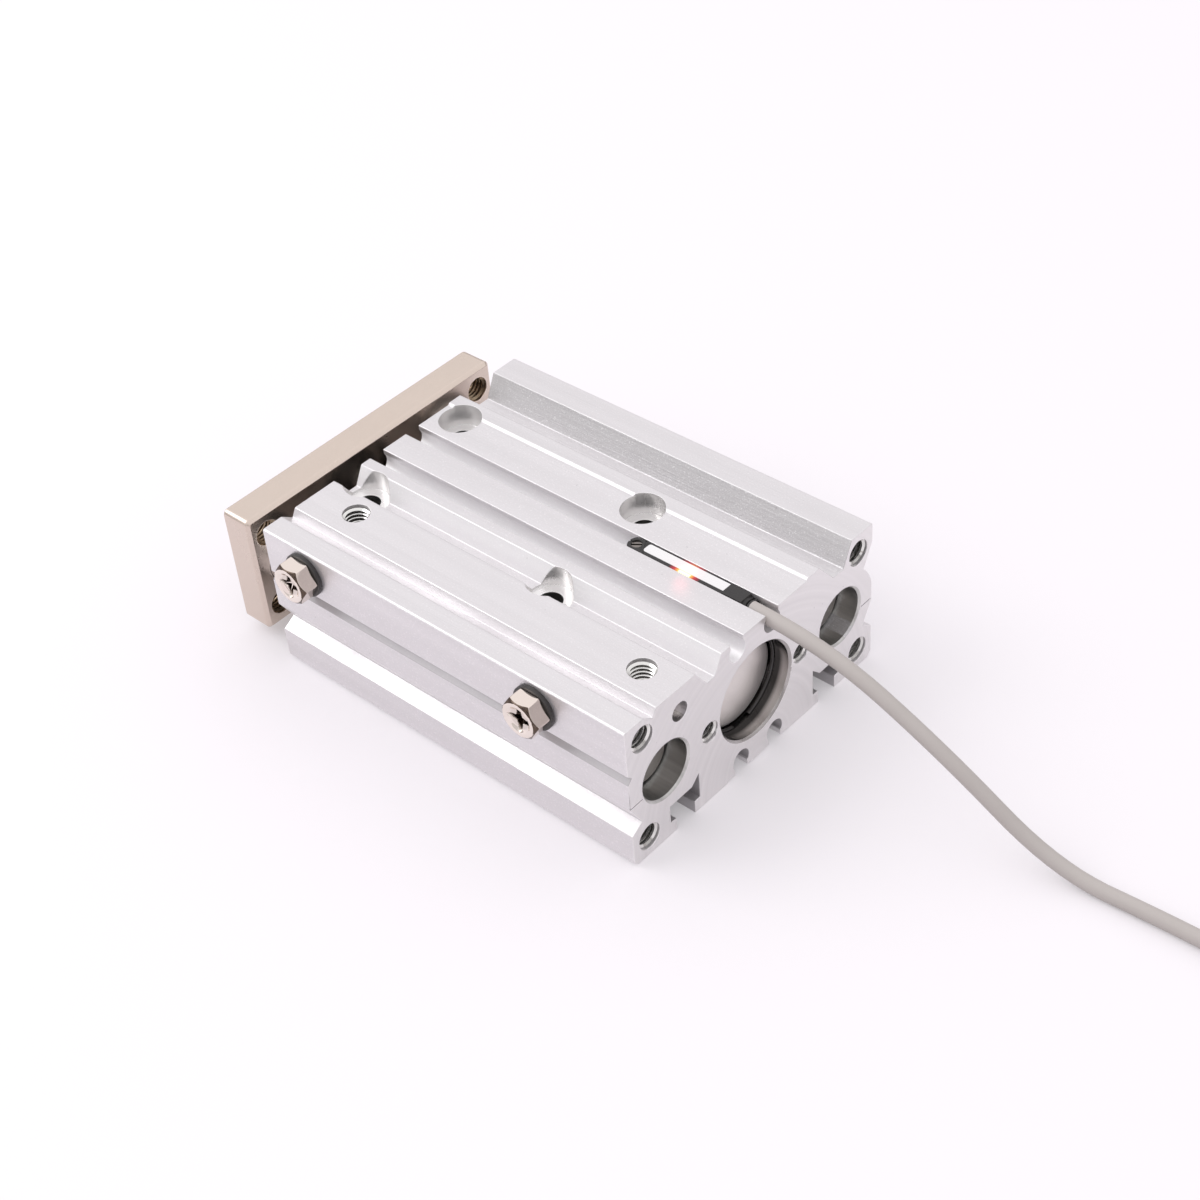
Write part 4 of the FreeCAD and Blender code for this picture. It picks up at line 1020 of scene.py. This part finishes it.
@dataclass
class Body:
    """The drawn aluminium body with its milled ends, bores, counterbores and tapped holes."""

    edge: float = 0.16 * MM
    port_y: float = 19.0 * MM
    port_from_back: float = 7.5 * MM
    port_from_front: float = 10.0 * MM
    corner_pitch: Span = (56.0 * MM, 22.0 * MM)
    middle_pitch: float = 24.0 * MM
    guide_pitch: float = 46.0 * MM
    guide_bore_r: float = 6.05 * MM
    air_bore_r: float = 9.7 * MM
    mount_pitch: Span = (44.0 * MM, 24.0 * MM)
    mount_r: float = 2.3 * MM
    counterbore_r: float = 4.05 * MM
    counterbore_depth: float = 4.5 * MM
    gallery: Point = (19.0 * MM, 22.0 * MM, 1.9 * MM)
    scribe_depth: float = 0.35 * MM
    scribe: Span = (13.4 * MM, 0.25 * MM)
    relief: Span = (9.0 * MM, 0.45 * MM)
    mark: Point = (3.6 * MM, 5.8 * MM, 1.5 * MM)
    groove: Point = (4.5 * MM, 27.3 * MM, 2.3 * MM)
    slot: Point = (19.0 * MM, 4.0 * MM, 8.3 * MM)
    rib_wall: Span = (-26.5 * MM, -22.8 * MM)
    valley_wall: Span = (8.3 * MM, 10.4 * MM)
    kept_sharp_r: Span = (10.0 * MM, 6.2 * MM)

    def threads(self) -> list[Thread]:
        """The two top ports, the four corner holes and the two middle holes of the back face.

        Returns:
            The threads of all eight holes.
        """
        found = [Thread(f"port_thread_{name}", Vector((x, self.port_y, TOP)), -Z_AXIS, 2.5 * MM,
                        0.8 * MM, 5.4 * MM)
                 for name, x in (("rear", BACK + self.port_from_back),
                                 ("front", FRONT - self.port_from_front))]
        for side in (1, -1):
            hand = "near" if side > 0 else "far"
            for level in (1, -1):
                mouth = Vector((BACK, side * self.corner_pitch[0] / 2,
                                AXIS_Z + level * self.corner_pitch[1] / 2))
                place = "upper" if level > 0 else "lower"
                found.append(Thread(f"back_thread_{hand}_{place}", mouth, X_AXIS, 2.5 * MM,
                                    0.8 * MM, 9.0 * MM))
            mouth = Vector((BACK, side * self.middle_pitch / 2, AXIS_Z))
            found.append(Thread(f"middle_thread_{hand}", mouth, X_AXIS, 2.0 * MM, 0.7 * MM,
                                6.5 * MM))
        return found

    def holed(self, face: bmesh.types.BMFace) -> BodyFace:
        """Which hole a face belongs to.

        Args:
            face: a face of the body, not on its profile's own special walls.

        Returns:
            The hole's kind of surface, or the drawn one outside them all.
        """
        middle = face.calc_center_median()
        hole = math.hypot(abs(middle.x) - self.mount_pitch[0] / 2,
                          abs(middle.y) - self.mount_pitch[1] / 2)
        upright = abs(face.normal.z) < UPRIGHT
        if hole < self.mount_r and upright:
            return BodyFace.GUIDE_BORE
        floor = TOP - self.counterbore_depth
        if hole < self.counterbore_r and (abs(middle.z - floor) < NEAR
                                          or upright and middle.z > floor):
            return BodyFace.COUNTERBORE
        if math.hypot(middle.y, middle.z - AXIS_Z) < self.air_bore_r:
            return BodyFace.AIR_BORE
        gallery = math.hypot(middle.y - self.gallery[0], middle.z - self.gallery[1])
        guide = math.hypot(abs(middle.y) - self.guide_pitch / 2, middle.z - AXIS_Z)
        if gallery < self.gallery[2] or guide < self.guide_bore_r:
            return BodyFace.GUIDE_BORE
        return BodyFace.DRAWN

    def surface(self, face: bmesh.types.BMFace) -> BodyFace:
        """Which finish a face has: the ends, the profile's special walls, or a hole's.

        The mark's slope and the walls of the slots below get a darker copy of the finish, painted
        shade. The top grooves and the inner wall of the ports' valley get a lighter copy, painted
        light, and the inner wall of the far rib is coarse and darker, partly painted shade.

        Args:
            face: a face of the body.

        Returns:
            Its kind of surface.
        """
        middle, normal = face.calc_center_median(), face.normal
        aside, lean = abs(middle.y), abs(normal.z)
        if abs(normal.x) > SQUARE_ON and not BACK + 2 * NEAR <= middle.x <= FRONT - 2 * NEAR:
            return BodyFace.MILLED
        marked = self.mark[0] < middle.z - AXIS_Z < self.mark[1] and lean > 0.2
        # the mark's slope gets the painted shade finish
        if marked and aside > HALF_WIDTH - self.mark[2]:
            return BodyFace.PAINTED_SHADE
        in_valley = self.valley_wall[0] < middle.y < self.valley_wall[1]
        # the top grooves and the valley's upward wall get the painted light copy
        if (math.hypot(aside - self.groove[0], middle.z - self.groove[1]) < self.groove[2]
                or in_valley and normal.y > 0.5 and normal.z > 0.3):
            return BodyFace.GROOVE_LIT
        in_slot = abs(aside - self.slot[0]) < self.slot[1] and middle.z < self.slot[2]
        below = math.hypot(aside - self.groove[0], 2 * AXIS_Z - middle.z - self.groove[1])
        # the slot walls and the underside grooves get the painted shade finish
        if middle.z > 0.3 * MM and normal.z < 0.5 and (in_slot or below < self.groove[2]):
            return BodyFace.PAINTED_SHADE
        # the far rib's inner wall: coarser grain and painted shade
        if self.rib_wall[0] < middle.y < self.rib_wall[1] and normal.y > 0.3 * normal.z > 0:
            return BodyFace.COARSE
        return self.holed(face)

    def broken(self, edge: bmesh.types.BMEdge) -> bool:
        """Whether an edge has room for its break: those of bores and scribed lines don't.

        Args:
            edge: a sharp edge of the body.

        Returns:
            True where the edge is broken.
        """
        middle = (edge.verts[0].co + edge.verts[1].co) / 2
        if BACK + self.scribe_depth < middle.x < FRONT - NEAR:
            level = middle.z - AXIS_Z
            air = math.hypot(middle.y, level)
            guide = math.hypot(abs(middle.y) - self.guide_pitch / 2, level)
            if air < self.kept_sharp_r[0] or guide < self.kept_sharp_r[1]:
                return False
        at_scribe = abs(middle.z - self.scribe[0]) < self.scribe[1]
        scribed = middle.x < BACK + self.scribe_depth and at_scribe
        return not scribed and not (abs(middle.y) < self.relief[0] and middle.z < self.relief[1])

    def build(self) -> None:
        """Dresses the body and cuts its threads."""
        bm = merged_node("cylinder_body")
        threads = self.threads()
        for thread in threads:
            thread.open_out(bm)
        for face in bm.faces:
            face.material_index = self.surface(face)
        round_edges(bm, self.edge, keep=self.broken)
        for vert in bm.verts:
            vert.co.z = min(vert.co.z, TOP)
        finishes = [BODY_FINISHES[kind].material() for kind in BodyFace]
        skin = new_piece("body_skin", bm, "barrel", finishes)
        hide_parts("cylinder_body")
        for thread in threads:
            thread.build()


@dataclass
class ToolPlate:
    """The nickel-plated plate with its four tapped holes."""

    edge: float = 0.12 * MM
    inset: Span = (4.0 * MM, 4.5 * MM)

    def build(self) -> None:
        """Dresses the plate and cuts its threads."""
        bm = merged_node("front_plate")
        threads = []
        for y in (PLATE_LOW.y + self.inset[0], PLATE_HIGH.y - self.inset[0]):
            for z in (PLATE_LOW.z + self.inset[1], PLATE_HIGH.z - self.inset[1]):
                name = f"plate_thread_{'near' if y > 0 else 'far'}_{'upper' if z > AXIS_Z else 'lower'}"
                threads.append(Thread(name, Vector((PLATE_LOW.x, y, z)), X_AXIS, 2.5 * MM, 0.8 * MM,
                                      7.0 * MM, "carriage", "plate_nickel", PLATE_THREAD))
        for thread in threads:
            thread.open_out(bm)
        round_edges(bm, self.edge)
        skin = new_piece("plate_skin", bm, "carriage", [PLATE_NICKEL.material()])
        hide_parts("front_plate")
        for thread in threads:
            thread.build()


@dataclass
class Skin:
    """A CAD node dressed as it is: joined, its edges broken, and given its finish."""

    node: str
    body: str
    slot: str
    finish: Finish
    edge: float = 0.05 * MM
    segments: int = 2
    whole: bool = True
    ends: Finish | None = None

    def build(self) -> bpy.types.Object:
        """Makes the dressed copy, which stands for the node.

        Returns:
            The copy.
        """
        bm = merged_node(self.node, self.whole)
        if self.edge > 0:
            round_edges(bm, self.edge, self.segments)
        finishes = [self.finish.material()]
        if self.ends:
            finishes.append(self.ends.material())
            for face in bm.faces:
                face.material_index = int(abs(face.normal.x) > SQUARE_ON)
        piece = new_piece(f"{self.node}_skin", bm, self.body, finishes)
        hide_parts(self.node)
        return piece


def eased(share: float) -> float:
    """Smooth step from 0 to 1, held at both ends."""
    share = min(1.0, max(0.0, share))
    return share * share * (3 - 2 * share)


class PlugFace(IntEnum):
    """The kinds of surface on a plug, in the order of its materials."""

    HEXAGON = 0
    CROWN = 1
    CHAMFER_SHADE = 2


@dataclass
class PortPlug:
    """A plug in a side port: hexagon head with a dished crown and a pressed cross recess."""

    node: str
    crown_r: float = 3.3 * MM
    rim: float = 0.45 * MM
    dish: float = 0.50 * MM
    pocket: float = 1.9 * MM
    arm: float = 2.45 * MM
    arm_half: float = 0.86 * MM
    tip_share: Span = (0.30, 0.45)
    deepening: float = 0.9
    fall_share: float = 0.34
    # relief: the share of a normal along Y that picks the chamfer faces given painted shade
    relief: Span = (0.35, 0.93)
    edge: float = 0.20 * MM
    lip_fall: float = 0.06 * MM
    wall: float = 0.16 * MM
    rings: int = 56
    sectors: int = 120

    def sunk(self, across: float, up: float) -> float:
        """How far the crown lies under its rim.

        Args:
            across: distance from the middle along X.
            up: distance from the middle along Z.

        Returns:
            The depth there.
        """
        out = math.hypot(across, up)
        flat_r = self.crown_r - self.rim
        depth = self.dish * eased((flat_r - out) / (self.fall_share * self.crown_r))
        if out > flat_r:
            lip = (out - flat_r - self.rim / 2) / (self.rim / 2)
            depth = self.lip_fall * lip * lip
        for along, aside in ((abs(across), abs(up)), (abs(up), abs(across))):
            reach = 1.0 - along / self.arm
            if reach > 0:
                narrow, shallow = self.tip_share
                half = self.arm_half * (narrow + (1.0 - narrow) * reach)
                deep = self.pocket * min(1.0, shallow + self.deepening * reach)
                depth = max(depth, depth + (deep - depth) * eased((half - aside) / self.wall))
        return depth

    def build(self) -> None:
        """Dresses the head: the hexagon stays, its crown is pressed anew."""
        bm = merged_node(self.node)
        low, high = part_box(self.node)
        middle = (low + high) / 2
        crown = []
        for face in bm.faces:
            place = face.calc_center_median()
            out = math.hypot(place.x - middle.x, place.z - middle.z)
            if place.y > high.y - self.pocket - 2 * NEAR and out < 0.8 * self.crown_r:
                crown.append(face)
        bmesh.ops.delete(bm, geom=crown, context="FACES")
        round_edges(bm, self.edge, 3, 20.0)
        hexagon = set(bm.faces)
        start = Vector((middle.x, high.y, middle.z))
        line = [bm.verts.new(start + X_AXIS * (self.crown_r * k / self.rings))
                for k in range(self.rings + 1)]
        edges = [bm.edges.new(pair) for pair in zip(line, line[1:])]
        bmesh.ops.spin(bm, geom=[*line, *edges], cent=start, axis=Y_AXIS, angle=math.tau,
                       steps=self.sectors, use_merge=True, use_duplicate=False)
        bmesh.ops.remove_doubles(bm, verts=bm.verts, dist=MERGE)
        for vert in bm.verts:
            if vert.co.y > high.y - MERGE:
                vert.co.y -= self.sunk(vert.co.x - middle.x, vert.co.z - middle.z)
        disc = [face for face in bm.faces if face not in hexagon]
        bmesh.ops.recalc_face_normals(bm, faces=disc)
        if sum(face.normal.y for face in disc) < 0:
            bmesh.ops.reverse_faces(bm, faces=disc)
        for face in disc:
            face.material_index = PlugFace.CROWN
        for face in hexagon:
            place = face.calc_center_median()
            out = math.hypot(place.x - middle.x, place.z - middle.z)
            # sloped faces round the crown get the painted shade finish
            sloped = self.relief[0] < abs(face.normal.y) < self.relief[1] and out > self.crown_r
            face.material_index = PlugFace.CHAMFER_SHADE if sloped else PlugFace.HEXAGON
        finishes = [PLUG_NICKEL.material(), PLUG_CROWN.material(), PLUG_CHAMFER_SHADE.material()]
        piece = new_piece(f"{self.node}_skin", bm, "barrel", finishes)
        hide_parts(self.node)


SKINS = (
    Skin("head_cover", "barrel", "cover_aluminium", COVER_TURNED, 0.12 * MM, 3),
    Skin("head_cover_ring", "barrel", "ring_steel", RING_STEEL, 0.1 * MM),
    Skin("rod_collar", "barrel", "cover_aluminium", COVER_TURNED),
    Skin("rod_collar_ring", "barrel", "ring_steel", RING_STEEL),
    Skin("rod_seal", "barrel", "seal_rubber", NITRILE),
    Skin("gallery_ball", "barrel", "ball_steel", BALL_STEEL, 0.0),
    Skin("rear_plug_washer", "barrel", "washer_grey", WASHER, 0.1 * MM),
    Skin("front_plug_washer", "barrel", "washer_grey", WASHER, 0.1 * MM),
    Skin("switch_body", "barrel", "switch_black", SWITCH_CASE, 0.05 * MM, 1, False),
    Skin("switch_lamp", "barrel", "lamp_amber", SWITCH_LAMP, 0.04 * MM),
    Skin("switch_label", "barrel", "label_white", LABEL_PLATE, 0.04 * MM),
    Skin("switch_screw", "barrel", "screw_steel", SCREW_BLACK, 0.05 * MM),
    Skin("guide_rod_port_side", "carriage", "rod_chrome", ROD_CHROME, 0.0, ends=ROD_END),
    Skin("guide_rod_far_side", "carriage", "rod_chrome", ROD_CHROME, 0.0, ends=ROD_END),
    Skin("piston_rod", "carriage", "rod_chrome", ROD_CHROME, 0.0),
    Skin("rod_bolt", "carriage", "bolt_steel", BOLT_STEEL, 0.08 * MM),
    Skin("guide_rod_bolts", "carriage", "bolt_steel", BOLT_STEEL, 0.08 * MM),
)
INNER_PIECES: dict[str, Finish] = {
    "head_cover_gasket": NITRILE, "rod_collar_gasket": NITRILE, "piston_seal": NITRILE,
    "guide_bushings_port_side": BRONZE, "guide_bushings_far_side": BRONZE,
    "guide_felts": FELT, "felt_holders": RING_STEEL, "piston": COVER_TURNED,
    "piston_magnet": MAGNET, "bumper_head_side": URETHANE, "bumper_rod_side": URETHANE,
    "lead_core_brown": CORE_BROWN, "lead_core_blue": CORE_BLUE,
}


def dress_inner_pieces() -> None:
    """Gives the CAD nodes that stay their own finishes."""
    for node, finish in INNER_PIECES.items():
        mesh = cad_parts[node].data
        mesh.materials.clear()
        mesh.materials.append(finish.material())
        LOG.info("%s: %s", node, finish.name)


def main() -> None:
    """Builds the studio, the lead and every sub-assembly in order."""
    logging.basicConfig(level=logging.INFO, format="%(name)s %(message)s")
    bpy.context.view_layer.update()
    Studio().build()
    lead = Lead()
    cord = lead.build()
    Body().build()
    ToolPlate().build()
    for skin in SKINS:
        skin.build()
    for node in ("rear_port_plug", "front_port_plug"):
        PortPlug(node).build()
    dress_inner_pieces()
    lead.tie()


if __name__ == "__main__":
    main()
